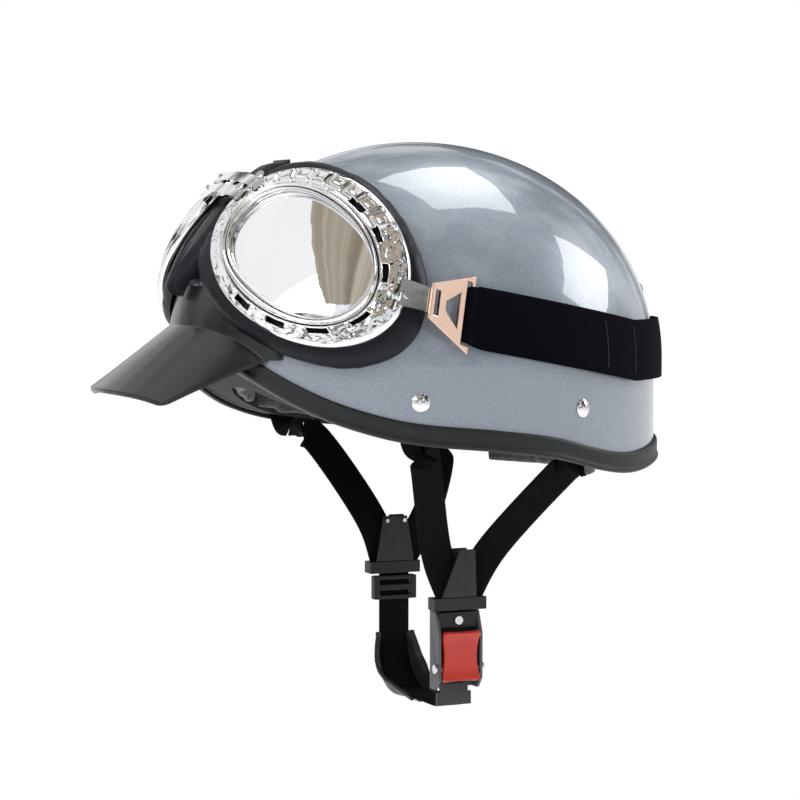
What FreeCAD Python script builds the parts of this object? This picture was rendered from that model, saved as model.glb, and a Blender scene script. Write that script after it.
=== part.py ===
import FreeCAD, Part
import math
import os

# Half helmet for riding: a hard shell over foam, a peak, strapped-on goggles and a chin harness.
# Millimetres. +Z up, the helmet faces -Y, the wearer's left is +X.
# The origin is the centre of the head opening, level with the shell's edge at the side.

V = FreeCAD.Vector

# ---- driving dimensions -------------------------------------------------
HALF_WIDTH = 114.0        # outer shell, along X
HALF_LENGTH = 142.0       # outer shell, along Y
CROWN_RISE = 123.0        # from the widest level up to the crown
WIDEST_Z = 44.0           # level where the dome turns into the upright wall
SKIRT_Z = -60.0           # how far down the construction walls run

SHELL_WALL = 3.6
FOAM_GAP = 0.4
FOAM_INNER = (85.0, 108.0, 95.0)      # half width, half length, rise of the foam's hollow
LINING_INNER = (78.0, 100.0, 88.0)    # the same for the head cavity
FIT_GAP = 0.3

# lower edge of the helmet, (y, z) from brow to nape
EDGE_LINE = ((-175, 66), (-142, 52), (-122, 36), (-104, 23), (-82, 12), (-50, 3), (0, -2.5),
             (36, -7.5), (66, -15), (90, -18.5), (114, -17), (175, -6))
TRIM_HEIGHT = 11.5
TRIM_FLOOR = 2.4
TRIM_PROUD = 2.2

WEB_WIDTH = 19.0
WEB_THICK = 1.5
RIVET_HEAD_R = 5.0
RIVET_SHANK_R = 2.2
RIVET_SPOTS = ((-44.0, 25.0), (54.0, 19.5))     # (y, z) of the strap rivets on each side

# peak: heights of its crest and its sides at one y, and how they rise towards the back
PEAK_BACK_Y, PEAK_FRONT_Y = -100.0, -192.0
PEAK_CREST = (-140.0, 67.0, 0.767)     # (y, height there, rise per millimetre)
PEAK_SIDE = (-120.0, 40.0, 0.40)
PEAK_ARCH_HALF = 72.0
PEAK_NOSE = (0.0, -188.0)              # (x, y) of the plan's front, front corner and root
PEAK_CORNER = (62.0, -173.0)
PEAK_ROOT = (70.0, -96.0)
PEAK_CORNER_R = 9.0
PEAK_THICK = 2.6
BAND_IN, BAND_OUT = 0.8, 3.2
BAND_HALF_X = 74.0
BAND_LOW_Z, BAND_HIGH_Z = 47.0, 86.0
BAND_CLEAR = 2.0                       # room round the band in the goggles' padding
PEAK_SCREW_R = 1.6
PEAK_SCREW_HEAD_R = 3.6
PEAK_SCREW_SPOTS = ((-62.0, 66.0), (62.0, 66.0))     # (x, z)

# rear strap keeper
RIVET_Z = 4.0             # rivet that holds the keeper's lower end
STUD_Z = 78.0             # snap stud, above the elastic
KEEPER_SHANK_R = 2.0
KEEPER_POST_R = 1.5
KEEPER_WIDTH = 17.0
KEEPER_THICK = 2.0
KEEPER_ROOT_OFF = 3.4     # how far behind the shell the tab's lower end lies
KEEPER_FACE = 6.4         # the same where it passes over the elastic
KEEPER_FOLD = 8.3         # how far above the rivet the tab folds
KEEPER_TAIL = 10.0        # how far the root reaches below the rivet
KEEPER_TIP = 8.0          # how far the tab reaches above the stud

# goggles: one eye cup is laid out on a plane that looks outward, forward and up
CUP_CENTRE = V(81.2, -98.6, 104.8)
CUP_YAW = 45.0
CUP_PITCH = 26.0
CUP_ROLL = -35.0
CUP_SPLIT_X = 4.0         # half the gap between the two cups at the nose
# (along the long axis, across it) centre and half sizes of each outline
OPENING = (-3.8, -2.0, 45.5, 30.5)
BEZEL = (-5.1, -2.6, 51.0, 36.2)
HOUSING = (-3.5, 0.5, 63.5, 47.5)
PAD = (-12.0, -0.5, 79.0, 54.0)
PAD_IN, PAD_OUT = 1.0, 12.2
PAD_SPLIT_X = 14.0        # where each face pad meets the nose pad
HOUSING_IN, HOUSING_OUT = 13.2, 18.4
LENS_IN, LENS_OUT = 13.4, 15.4
BEZEL_IN, BEZEL_OUT = 15.6, 20.8
VENT_ANGLES = (84, 59, 31, -10, -42, -70, -94)     # round the bezel, degrees from the long axis
VENT_SIZE = (11.0, 3.0)
NOSE_BACK_Y = -82.0
NOSE_LOW_Z, NOSE_HIGH_Z = 88.0, 171.0
BRIDGE_Z = 145.0
BRIDGE_LINKS = ((-7.0, 31.0, 28.2), (3.0, 37.0, 34.0))     # (step uphill, half length, screw x)
BRIDGE_IN, BRIDGE_OUT = 18.7, 20.9
BRIDGE_HALF_WIDTH = 3.6
BRIDGE_SCREW_DROP = 0.6

# side tab and strap hook, (y, z) along the left wall and how far off the shell
TAB_FRONT, TAB_FRONT_OFF = (-60.0, 84.0), 19.7
TAB_REAR, TAB_REAR_OFF = (-42.0, 79.0), 15.0
TAB_THICK = 1.6
HOOK_FRONT, HOOK_FRONT_OFF = (-45.5, 79.5), 18.7
HOOK_MIDDLE = (-32.0, 75.5)
HOOK_REAR, HOOK_REAR_OFF = (-17.5, 71.0), 2.6
HOOK_THICK = 1.6
HOOK_FRONT_HALF, HOOK_REAR_HALF = 9.5, 21.5
HOOK_SLOT_HALF = 17.4

ELASTIC_WIDTH = 34.0
ELASTIC_THICK = 1.6
ELASTIC_OFF = 1.2         # clearance of the elastic from the shell
ELASTIC_DROP = 0.185      # how far the elastic falls per millimetre towards the rear
ELASTIC_MID_Z = 67.3      # height of its middle line at y = 0
ELASTIC_FLAT_Y = 95.0     # from here back it runs level
ELASTIC_START_Y = -16.0
ELASTIC_FLAT_Z = ELASTIC_MID_Z - ELASTIC_DROP * ELASTIC_FLAT_Y
FOLD_END_Y = 96.0         # where the folded ends are sewn down

# chin harness
LOOP_Y = 5.0              # fore and aft place of the chin loop's middle
LEG_ROOT_Y = (-29.0, 52.0)          # where the front and rear legs hang free below the edge
LEG_EDGE_Z = (-3.5, -13.0)
EDGE_X = 80.0
DIVIDER_X = 47.0
DIVIDER_TOP_Z = {1: -62.0, -1: -52.0}
DIVIDER_HEIGHT = 27.0
DIVIDER_THICK = 9.6
PLY = 2.2                           # spacing of the webbing plies at a divider
BAR_HEIGHT = 7.0
BAR_HALF = 16.0
LEG_NECK = (-14.0, 22.0)            # y of each leg, from the loop's middle, level with the divider's top
LEG_FOOT = (-3.0, 3.5)              # the same at the divider's bar
CHANNEL_DEPTH = 18.0                # of the foam's channel for a leg, from the shell's outside
CHANNEL_RISE = 18.0                 # how far above the rivet the channel runs
CHANNEL_SPARE = 4.0                 # room beside the webbing in the channel

# ratchet buckle
BUCKLE_TOP_Z = -97.0
BUCKLE_LOW_Z = -141.0
BUCKLE_HALF_Y = 13.5
BUCKLE_WALL = 1.6
BACK_X = 39.0             # inner face of the back plate
EAR_X = 52.0
PIN_X, PIN_Z, PIN_R = 48.6, -129.0, 1.5
COIL_R = 2.4
LEVER_HALF_Y = 11.3
LEVER_TOP_Z, LEVER_LOW_Z = -108.5, -135.5
TONGUE_IN_X = BACK_X + BUCKLE_WALL + 0.4
TONGUE_OUT_X = TONGUE_IN_X + 1.8
TOOTH = 1.2
TOOTH_PITCH = 3.0

# chin web, pad and slider
LOOP_LOW_Z = -152.0
LOOP_BEND_R = 24.0
TAIL_BEND_R = 9.0
SLIDER_Z = -94.5
PAD_WIDTH, PAD_THICK = 27.0, 6.0
SLIDER_HALF_Y, SLIDER_HALF_Z, SLIDER_HALF_X = 13.5, 7.0, 2.6
SLIDER_WINDOW = (3.2, 1.4)             # middle and half height of each window

PART_DIR = "parts"


# ---- helpers --------------------------------------------------------------
def unit(v):
    w = V(v)
    w.normalize()
    return w


def blank(half_x, half_y, rise):
    """A solid dome on upright elliptical walls, down to SKIRT_Z."""
    drop = (WIDEST_Z - SKIRT_Z) / rise
    low_axis, low_wall = V(0, 0, -drop), V(1, 0, -drop)
    wall_top, crown = V(1, 0, 0), V(0, 0, 1)
    mid = V(math.cos(math.pi / 4), 0, math.sin(math.pi / 4))
    edges = [Part.makeLine(low_axis, low_wall), Part.makeLine(low_wall, wall_top),
             Part.Arc(wall_top, mid, crown).toShape(), Part.makeLine(crown, low_axis)]
    turned = Part.Face(Part.Wire(edges)).revolve(V(0, 0, 0), V(0, 0, 1), 360)
    scale = FreeCAD.Matrix()
    scale.scale(half_x, half_y, rise)
    solid = Part.Solid(turned.transformGeometry(scale).Shells[0])
    solid.translate(V(0, 0, WIDEST_Z))
    return solid


def dome(off):
    """The outer shell's form, grown outward by off."""
    return blank(HALF_WIDTH + off, HALF_LENGTH + off, CROWN_RISE + off)


def layer(outer, inner):
    return dome(outer).cut(dome(inner))


def above_edge(lift):
    """Everything above the helmet's lower edge raised by lift."""
    pts = [V(-200, y, z + lift) for y, z in EDGE_LINE]
    curve = Part.BSplineCurve()
    curve.interpolate(pts)
    first, last = pts[0], pts[-1]
    top_a, top_b = V(-200, last.y, 300), V(-200, first.y, 300)
    wire = Part.Wire([curve.toShape(), Part.makeLine(last, top_a),
                      Part.makeLine(top_a, top_b), Part.makeLine(top_b, first)])
    return Part.Face(wire).extrude(V(400, 0, 0))


def box(low, high):
    return Part.makeBox(high[0] - low[0], high[1] - low[1], high[2] - low[2], V(*low))


def mirrored(shape):
    return shape.mirror(V(0, 0, 0), V(1, 0, 0))


def group(shapes):
    """Separate solids kept together in one node."""
    return Part.makeCompound([s for shape in shapes for s in shape.Solids])


def save(name, shape):
    solids = shape.Solids
    out = solids[0] if len(solids) == 1 else Part.makeCompound(solids)
    out.exportStep(os.path.join(PART_DIR, name + ".step"))
    print("%-24s solids %2d  volume %10.1f  valid %s" % (name, len(solids), out.Volume, out.isValid()))


def surface_point(off, y, z, side=1):
    """Point of the grown shell's upright wall or dome at a given y and z."""
    rise = max(z - WIDEST_Z, 0.0) / (CROWN_RISE + off)
    share = 1.0 - rise * rise - (y / (HALF_LENGTH + off)) ** 2
    return V(side * (HALF_WIDTH + off) * math.sqrt(share), y, z)


def surface_normal(p):
    rise = max(p.z - WIDEST_Z, 0.0)
    return unit(V(p.x / HALF_WIDTH ** 2, p.y / HALF_LENGTH ** 2, rise / CROWN_RISE ** 2))


def rod(start, end, radius):
    return Part.makeCylinder(radius, (end - start).Length, start, end - start)


def strap(stations, width, thick):
    """A flat band lofted through (centre, width direction, face direction) stations."""
    wires = []
    for centre, across, face in stations:
        a = unit(across) * (width / 2)
        b = unit(face) * (thick / 2)
        corners = [centre - a - b, centre + a - b, centre + a + b, centre - a + b]
        wires.append(Part.makePolygon(corners + corners[:1]))
    return Part.makeLoft(wires, True, True)


# ---- shell, foam, lining and edge trim ------------------------------------------
def rivet_axes():
    """(point on the shell's outside, outward direction) of the strap rivets."""
    axes = []
    for side in (1, -1):
        for y, z in RIVET_SPOTS:
            p = surface_point(0, y, z, side)
            axes.append((p, surface_normal(p)))
    return axes


def make_shell():
    shell = layer(0, -SHELL_WALL).common(above_edge(TRIM_FLOOR + 0.2))
    for p, n in rivet_axes():
        shell = shell.cut(rod(p - n * 8, p + n * 4, RIVET_SHANK_R + 0.05))
    for z in (RIVET_Z, STUD_Z):
        p = V(0, back_y(z), z)
        shell = shell.cut(rod(p - V(0, 8, 0), p + V(0, 4, 0), KEEPER_SHANK_R + 0.05))
    for p, n in peak_screw_axes():
        shell = shell.cut(rod(p - n * 8, p + n * 4, PEAK_SCREW_R + 0.05))
    return shell


def make_foam(clearances):
    foam = dome(-SHELL_WALL - FOAM_GAP).cut(blank(*FOAM_INNER))
    foam = foam.common(above_edge(TRIM_FLOOR + 1.0))
    for c in clearances:
        foam = foam.cut(c)
    return foam


def lining_layer():
    hx, hy, rise = FOAM_INNER
    gap = FIT_GAP
    return blank(hx - gap, hy - gap, rise - gap).cut(blank(*LINING_INNER))


def wedge(from_deg, to_deg, z_low, z_high):
    """A pie slice about Z, angles from +X."""
    reach = 300.0
    corners = [V(0, 0, z_low)]
    steps = max(2, int((to_deg - from_deg) / 30) + 1)
    for i in range(steps + 1):
        a = math.radians(from_deg + (to_deg - from_deg) * i / steps)
        corners.append(V(reach * math.cos(a), reach * math.sin(a), z_low))
    face = Part.Face(Part.makePolygon(corners + corners[:1]))
    return face.extrude(V(0, 0, z_high - z_low))


def make_linings():
    base = lining_layer()
    cut_low = above_edge(TRIM_FLOOR + 1.0)
    hang_low = above_edge(-7.0)
    side_top, brow_top = 92.0, 96.0
    pads = {
        "lining_brow": base.common(wedge(-124, -56, SKIRT_Z, brow_top)).common(cut_low),
        "lining_left": base.common(wedge(-53, 47, SKIRT_Z, side_top)).common(cut_low),
        "lining_right": base.common(wedge(133, 233, SKIRT_Z, side_top)).common(cut_low),
        "lining_nape": base.common(wedge(50, 130, SKIRT_Z, side_top)).common(hang_low),
    }
    crown_z = side_top + 8
    pads["lining_crown"] = base.common(box((-200, -200, crown_z), (200, 200, 220)))
    return pads


def make_trim():
    height = above_edge(0).cut(above_edge(TRIM_HEIGHT))
    outer_leg = layer(TRIM_PROUD, 0.05).common(height)
    floor = layer(TRIM_PROUD, -SHELL_WALL).common(above_edge(0).cut(above_edge(TRIM_FLOOR)))
    return outer_leg.fuse(floor)


# ---- peak -------------------------------------------------------------------------


def peak_screw_axes():
    axes = []
    for x, z in PEAK_SCREW_SPOTS:
        rise = (z - WIDEST_Z) / CROWN_RISE
        y = -HALF_LENGTH * math.sqrt(1 - rise * rise - (x / HALF_WIDTH) ** 2)
        p = V(x, y, z)
        axes.append((p, surface_normal(p)))
    return axes


def line_at(line, y):
    """Height at y of a straight line given as (y, height there, rise per millimetre)."""
    return line[1] + (y - line[0]) * line[2]


def arch_section(y):
    """The peak's thin arch across X at one y, crest in the middle."""
    half, crest_z, side_z = PEAK_ARCH_HALF, line_at(PEAK_CREST, y), line_at(PEAK_SIDE, y)
    top = Part.Arc(V(-half, y, side_z), V(0, y, crest_z), V(half, y, side_z)).toShape()
    low = top.translated(V(0, 0, -PEAK_THICK))
    left = Part.makeLine(V(-half, y, side_z), V(-half, y, side_z - PEAK_THICK))
    right = Part.makeLine(V(half, y, side_z), V(half, y, side_z - PEAK_THICK))
    return Part.Wire(Part.__sortEdges__([top, right, low, left]))


def peak_plan():
    """Outline of the peak seen from above, with rounded front corners."""
    low_z, tall = -50.0, 200.0
    front, corner, root = (V(x, y, low_z) for x, y in (PEAK_NOSE, PEAK_CORNER, PEAK_ROOT))
    far_corner, far_root = V(-corner.x, corner.y, low_z), V(-root.x, root.y, low_z)
    edges = [Part.Arc(far_corner, front, corner).toShape(), Part.makeLine(corner, root),
             Part.makeLine(root, far_root), Part.makeLine(far_root, far_corner)]
    prism = Part.Face(Part.Wire(edges)).extrude(V(0, 0, tall))
    uprights = [e for e in prism.Edges
                if abs(e.Vertexes[0].X - e.Vertexes[-1].X) < 0.01
                and abs(abs(e.Vertexes[0].X) - corner.x) < 0.01 and e.Length > tall / 2]
    return prism.makeFillet(PEAK_CORNER_R, uprights)


def make_peak():
    brim = Part.makeLoft([arch_section(PEAK_BACK_Y), arch_section(PEAK_FRONT_Y)], True, True)
    brim = brim.common(peak_plan()).cut(dome(BAND_IN))
    wall = layer(BAND_OUT, BAND_IN)
    wall = wall.common(box((-BAND_HALF_X, -200, BAND_LOW_Z), (BAND_HALF_X, -60, BAND_HIGH_Z)))
    trim_room = dome(TRIM_PROUD + FIT_GAP).cut(above_edge(TRIM_HEIGHT + FIT_GAP))
    peak = brim.fuse(wall).cut(trim_room)
    for p, n in peak_screw_axes():
        peak = peak.cut(rod(p - n * 8, p + n * 8, PEAK_SCREW_R + 0.05))
    return peak


def band_room():
    """What the goggles' padding leaves free round the peak's band."""
    half_x = BAND_HALF_X + BAND_CLEAR
    zone = box((-half_x, -200, 30), (half_x, -50, BAND_HIGH_Z + BAND_CLEAR))
    return layer(BAND_OUT + 2.2, -2).common(zone)


def make_peak_screws():
    screws = []
    for p, n in peak_screw_axes():
        shank = rod(p - n * (SHELL_WALL + 0.3), p + n * (BAND_OUT + 0.1), PEAK_SCREW_R)
        head = rod(p + n * (BAND_OUT + 0.1), p + n * (BAND_OUT + 1.5), PEAK_SCREW_HEAD_R)
        screws.append(shank.fuse(head))
    return screws


# ---- strap rivets --------------------------------------------------------------------
def make_strap_rivets():
    rivets = []
    for p, n in rivet_axes():
        ball_r = 7.6
        sink = math.sqrt(ball_r ** 2 - RIVET_HEAD_R ** 2)
        cap = Part.makeSphere(ball_r, p + n * (0.25 - sink))
        cap = cap.common(rod(p + n * 0.25, p + n * 8, RIVET_HEAD_R + 1))
        shank = rod(p - n * 8.6, p + n * 0.6, RIVET_SHANK_R)
        rivets.append(cap.fuse(shank).removeSplitter())
    return rivets


def make_rivet_washers():
    washers = []
    for p, n in rivet_axes():
        start = p - n * (SHELL_WALL + 3.0)
        disc = rod(start, start - n * 1.2, 7.0)
        washers.append(disc.cut(rod(p - n * 12, p, RIVET_SHANK_R + 0.05)))
    return washers


# ---- rear strap keeper -----------------------------------------------------------------


def back_y(z):
    """Where the shell's outside is at the back, on the middle plane."""
    rise = max(z - WIDEST_Z, 0.0) / CROWN_RISE
    return HALF_LENGTH * math.sqrt(1.0 - rise * rise)


def make_keeper_rivet():
    y, z = back_y(RIVET_Z), RIVET_Z
    seat = y + KEEPER_ROOT_OFF + KEEPER_THICK / 2 + 0.1
    shank = rod(V(0, y - SHELL_WALL - 0.3, z), V(0, seat, z), KEEPER_SHANK_R)
    head = Part.makeSphere(4.6, V(0, seat - 2.2, z)).common(box((-6, seat, z - 6), (6, seat + 8, z + 6)))
    return shank.fuse(head).removeSplitter()


def make_keeper_stud():
    y, z = back_y(STUD_Z), STUD_Z
    shank = rod(V(0, y - SHELL_WALL + 0.3, z), V(0, y + 1.9, z), KEEPER_SHANK_R)
    base = rod(V(0, y + 1.7, z), V(0, y + 2.8, z), 5.0)
    post = rod(V(0, y + 1.9, z), V(0, y + KEEPER_FACE + 0.4, z), KEEPER_POST_R)
    return shank.fuse(base).fuse(post).removeSplitter()


def keeper_strip(path):
    stations = [(V(0, y, z), V(1, 0, 0), V(0, 1, 0)) for y, z in path]
    return strap(stations, KEEPER_WIDTH, KEEPER_THICK)


def make_keeper_root():
    """Lower end of the leather keeper, held under the rivet."""
    y = back_y(RIVET_Z) + KEEPER_ROOT_OFF
    root = keeper_strip([(y, RIVET_Z - KEEPER_TAIL), (y, RIVET_Z + KEEPER_FOLD - 1.2)])
    return root.cut(rod(V(0, y - 5, RIVET_Z), V(0, y + 9, RIVET_Z), KEEPER_SHANK_R + 0.05))


def make_keeper_tab():
    """Free length of the keeper, which passes over the elastic to the snap."""
    y, over, snap = back_y(RIVET_Z) + KEEPER_ROOT_OFF, HALF_LENGTH + KEEPER_FACE, back_y(STUD_Z) + KEEPER_FACE
    fold = RIVET_Z + KEEPER_FOLD
    elastic_top = ELASTIC_FLAT_Z + ELASTIC_WIDTH / 2
    path = [(y, fold + 1.1), (over, fold + 3), (over, ELASTIC_FLAT_Z), (over - 1.5, elastic_top + 0.8),
            (snap, STUD_Z - 6.5), (snap, STUD_Z + KEEPER_TIP)]
    return keeper_strip(path).cut(rod(V(0, snap - 5, STUD_Z), V(0, snap + 9, STUD_Z), KEEPER_SHANK_R + 0.6))


def make_keeper_cap():
    y, z = back_y(STUD_Z) + KEEPER_FACE + KEEPER_THICK / 2 + 0.1, STUD_Z
    ring = rod(V(0, y - 2.1, z), V(0, y, z), KEEPER_SHANK_R + 0.5)
    dome_cap = Part.makeSphere(8.0, V(0, y - 5.2, z)).common(box((-7, y, z - 7), (7, y + 4, z + 7)))
    cap = ring.fuse(dome_cap).removeSplitter()
    return cap.cut(rod(V(0, y - 3, z), V(0, y - 0.2, z), KEEPER_SHANK_R + 0.1))


# ---- goggles -----------------------------------------------------------------------------
def cup_axes():
    """(outward normal, long axis, short axis) of one eye cup's layout plane."""
    yaw, pitch, roll = (math.radians(a) for a in (CUP_YAW, CUP_PITCH, CUP_ROLL))
    n = V(math.sin(yaw) * math.cos(pitch), -math.cos(yaw) * math.cos(pitch), math.sin(pitch))
    level = V(math.cos(yaw), math.sin(yaw), 0)
    up = n.cross(level) * -1
    if up.z < 0:
        up = up * -1
    long_axis = level * math.cos(roll) + up * math.sin(roll)
    short_axis = up * math.cos(roll) - level * math.sin(roll)
    return n, long_axis, short_axis


def cup_prism(outline, grow=0.0):
    """An elliptical outline pushed through the helmet's front along the cup's normal."""
    n, long_axis, short_axis = cup_axes()
    a0, b0, half_a, half_b = outline
    centre = CUP_CENTRE + long_axis * a0 + short_axis * b0 - n * 70
    rim = Part.Ellipse(V(0, 0, 0), half_a + grow, half_b + grow).toShape()
    place = FreeCAD.Placement(centre, FreeCAD.Rotation(long_axis, short_axis, n, "XYZ"))
    rim.Placement = place
    return Part.Face(Part.Wire([rim])).extrude(n * 130)


def left_half(x):
    return box((x, -250, -100), (250, 250, 250))


def cup_ring(outer, inner, off_in, off_out, grow_outer=0.0, grow_inner=0.0, split=CUP_SPLIT_X):
    ring = cup_prism(outer, grow_outer).cut(cup_prism(inner, grow_inner))
    return ring.common(layer(off_out, off_in)).common(left_half(split))


def cup_spot(angle, off, outline, grow=0.0):
    """Point and direction at an angle round an outline, on the shell grown by off."""
    n, long_axis, short_axis = cup_axes()
    a0, b0, half_a, half_b = outline
    a = math.radians(angle)
    flat = CUP_CENTRE + long_axis * (a0 + (half_a + grow) * math.cos(a))
    flat = flat + short_axis * (b0 + (half_b + grow) * math.sin(a))
    return drop_on(flat, n, off)


def drop_on(flat, n, off):
    """Slide a point along n onto the dome grown by off."""
    hx, hy, rise = HALF_WIDTH + off, HALF_LENGTH + off, CROWN_RISE + off
    low, high = -80.0, 80.0
    for _ in range(50):
        t = (low + high) / 2
        p = flat + n * t
        level = max(p.z - WIDEST_Z, 0) / rise
        if (p.x / hx) ** 2 + (p.y / hy) ** 2 + level ** 2 < 1:
            low = t
        else:
            high = t
    return flat + n * ((low + high) / 2)


def vent_slots():
    slots = []
    n = cup_axes()[0]
    for angle in VENT_ANGLES:
        here = cup_spot(angle, 16, BEZEL, 4.2)
        ahead = cup_spot(angle + 2, 16, BEZEL, 4.2)
        along = unit(ahead - here)
        side = along.cross(n)
        length, width = VENT_SIZE
        corners = [here + along * (i_l * length / 2) + side * (i_w * width / 2) - n * 8
                   for i_l, i_w in ((-1, -1), (1, -1), (1, 1), (-1, 1))]
        slots.append(Part.Face(Part.makePolygon(corners + corners[:1])).extrude(n * 16))
    return slots


def make_cup():
    """Pieces of the wearer's left eye cup, by name."""
    housing = cup_ring(HOUSING, BEZEL, HOUSING_IN, HOUSING_OUT, 0, 0.15)
    for slot in vent_slots():
        housing = housing.cut(slot)
    mesh = cup_ring(HOUSING, BEZEL, PAD_OUT + 0.2, HOUSING_IN - 0.1, -7, 0.15, CUP_SPLIT_X + 1)
    lens = cup_prism(BEZEL, -0.6).common(layer(LENS_OUT, LENS_IN)).common(left_half(CUP_SPLIT_X + 1))
    bezel = cup_ring(BEZEL, OPENING, BEZEL_IN, BEZEL_OUT, -0.1, 0)
    pad = cup_ring(PAD, OPENING, PAD_IN, PAD_OUT, 0, 2, PAD_SPLIT_X)
    pad = pad.cut(band_room())
    return {"goggle_housing": housing, "vent_mesh": mesh, "lens": lens, "lens_bezel": bezel, "face_pad": pad}


def make_nose_pad():
    """The padded middle piece between the two face pads."""
    half_x = PAD_SPLIT_X - FIT_GAP
    middle = box((-half_x, -220, NOSE_LOW_Z), (half_x, NOSE_BACK_Y, NOSE_HIGH_Z))
    return layer(PAD_OUT, PAD_IN).common(middle).cut(band_room())


def bridge_spot(off, x, z):
    """Point over the brow on the grown dome, at a given x and z."""
    rise = (z - WIDEST_Z) / (CROWN_RISE + off)
    share = 1 - rise * rise - (x / (HALF_WIDTH + off)) ** 2
    return V(x, -(HALF_LENGTH + off) * math.sqrt(share), z)


def make_bridge():
    """Two curved link straps across the nose and the screws that hold them to the housings."""
    centre = bridge_spot(BRIDGE_OUT, 0, BRIDGE_Z)
    out = surface_normal(centre)
    uphill = V(0, -out.z, out.y) * -1
    links, screws = [], []
    for step, half_x, screw_x in BRIDGE_LINKS:
        middle = centre + uphill * step
        inner = middle - out * 9 - V(half_x, 0, 0)
        corners = [inner - uphill * BRIDGE_HALF_WIDTH, inner + uphill * BRIDGE_HALF_WIDTH]
        corners += [corners[1] + out * 14, corners[0] + out * 14]
        slab = Part.Face(Part.makePolygon(corners + corners[:1])).extrude(V(2 * half_x, 0, 0))
        link = layer(BRIDGE_OUT, BRIDGE_IN).common(slab)
        for side in (-1, 1):
            foot = bridge_spot(BRIDGE_OUT, side * screw_x, middle.z - BRIDGE_SCREW_DROP)
            n = surface_normal(foot)
            link = link.cut(rod(foot - n * 6, foot + n * 6, 1.25))
            shank = rod(foot - n * (BRIDGE_OUT - BRIDGE_IN), foot + n * 0.2, 1.2)
            screws.append(shank.fuse(rod(foot + n * 0.2, foot + n * 1.5, 2.4)))
        links.append(link)
    return links, screws


# ---- side tabs, hooks and elastic ------------------------------------------------------------
def wall_point(spot, off):
    """Point on the left wall grown by off, with its outward direction."""
    y, z = spot
    p = surface_point(off, y, z)
    return p, surface_normal(p)


def quad_plate(a, b, half_a, half_b, out, low, high):
    """A plate from a to b whose half width changes from half_a to half_b."""
    along = unit(b - a)
    side = unit(out.cross(along))
    up = plate_normal(a, b, out)
    corners = [a - side * half_a, b - side * half_b, b + side * half_b, a + side * half_a]
    return Part.Face(Part.makePolygon(corners + corners[:1])).translated(up * low).extrude(up * (high - low))


def plate_normal(a, b, out):
    along = unit(b - a)
    return unit(out - along * along.dot(out))


def make_side_tab():
    """Chrome tab that runs from the housing back to the strap hook, with its rivet."""
    a, out = wall_point(TAB_FRONT, TAB_FRONT_OFF)
    b = wall_point(TAB_REAR, TAB_REAR_OFF)[0]
    tab = quad_plate(a, b, 7.5, 6.3, out, 0.0, TAB_THICK)
    up = plate_normal(a, b, out)
    spot = a + (b - a) * 0.2
    tab = tab.cut(rod(spot - up * 2, spot + up * 6, 1.45))
    shank = rod(spot - up * 0.1, spot + up * (TAB_THICK + 0.1), 1.4)
    head = rod(spot + up * (TAB_THICK + 0.1), spot + up * (TAB_THICK + 1.3), 2.8)
    return tab, shank.fuse(head)


def make_hook():
    """Stamped hook with a slot for the tab, a cut-out and a long slot for the elastic."""
    a = wall_point(HOOK_FRONT, HOOK_FRONT_OFF)[0]
    b = wall_point(HOOK_REAR, HOOK_REAR_OFF)[0]
    out = wall_point(HOOK_MIDDLE, 0)[1]
    plate = quad_plate(a, b, HOOK_FRONT_HALF, HOOK_REAR_HALF, out, 0.0, HOOK_THICK)
    along = unit(b - a)
    side = unit(out.cross(along))
    length = (b - a).Length
    front_slot = quad_plate(a + along * 2.8, a + along * 6.2, 7.0, 7.0, out, -4, 6)
    window = quad_plate(a + along * 11.0, a + along * (length - 10.0), 2.6, 10.0, out, -4, 6)
    slot_start, slot_end = a + along * (length - 6.0), a + along * (length - 2.4)
    rear_slot = quad_plate(slot_start, slot_end, HOOK_SLOT_HALF, HOOK_SLOT_HALF, out, -4, 6)
    mouth_at = side * (HOOK_SLOT_HALF - 2.0) * -1
    mouth = quad_plate(slot_start + mouth_at, slot_end + along * 6 + mouth_at, 2.0, 2.0, out, -4, 6)
    return plate.cut(front_slot).cut(window).cut(rear_slot).cut(mouth)


def elastic_zone(half_width):
    """Everything within half_width of the elastic's middle line, seen from the side."""
    y_end = 170.0
    start_z = ELASTIC_MID_Z - ELASTIC_DROP * ELASTIC_START_Y
    lean = ELASTIC_DROP * half_width
    line = [(ELASTIC_FLAT_Y, ELASTIC_FLAT_Z), (y_end, ELASTIC_FLAT_Z)]
    upper = [V(-200, ELASTIC_START_Y + lean, start_z + half_width)]
    upper += [V(-200, y, z + half_width) for y, z in line]
    lower = [V(-200, y, z - half_width) for y, z in reversed(line)]
    lower += [V(-200, ELASTIC_START_Y - lean, start_z - half_width)]
    face = Part.Face(Part.makePolygon(upper + lower + upper[:1]))
    return face.extrude(V(400, 0, 0))


def make_elastic():
    """The elastic's outer run round the back, from hook to hook."""
    outer = layer(ELASTIC_OFF + 2 * ELASTIC_THICK, ELASTIC_OFF + ELASTIC_THICK + 0.1)
    outer = outer.common(elastic_zone(ELASTIC_WIDTH / 2))
    return outer


def make_elastic_fold():
    """Both ends folded back beneath the outer run, as far as they are sewn down."""
    inner = layer(ELASTIC_OFF + ELASTIC_THICK, ELASTIC_OFF)
    inner = inner.common(elastic_zone(ELASTIC_WIDTH / 2 - 3))
    return inner.common(box((-200, -200, -50), (200, FOLD_END_Y, 200)))


# ---- chin harness ---------------------------------------------------------------------------


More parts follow.
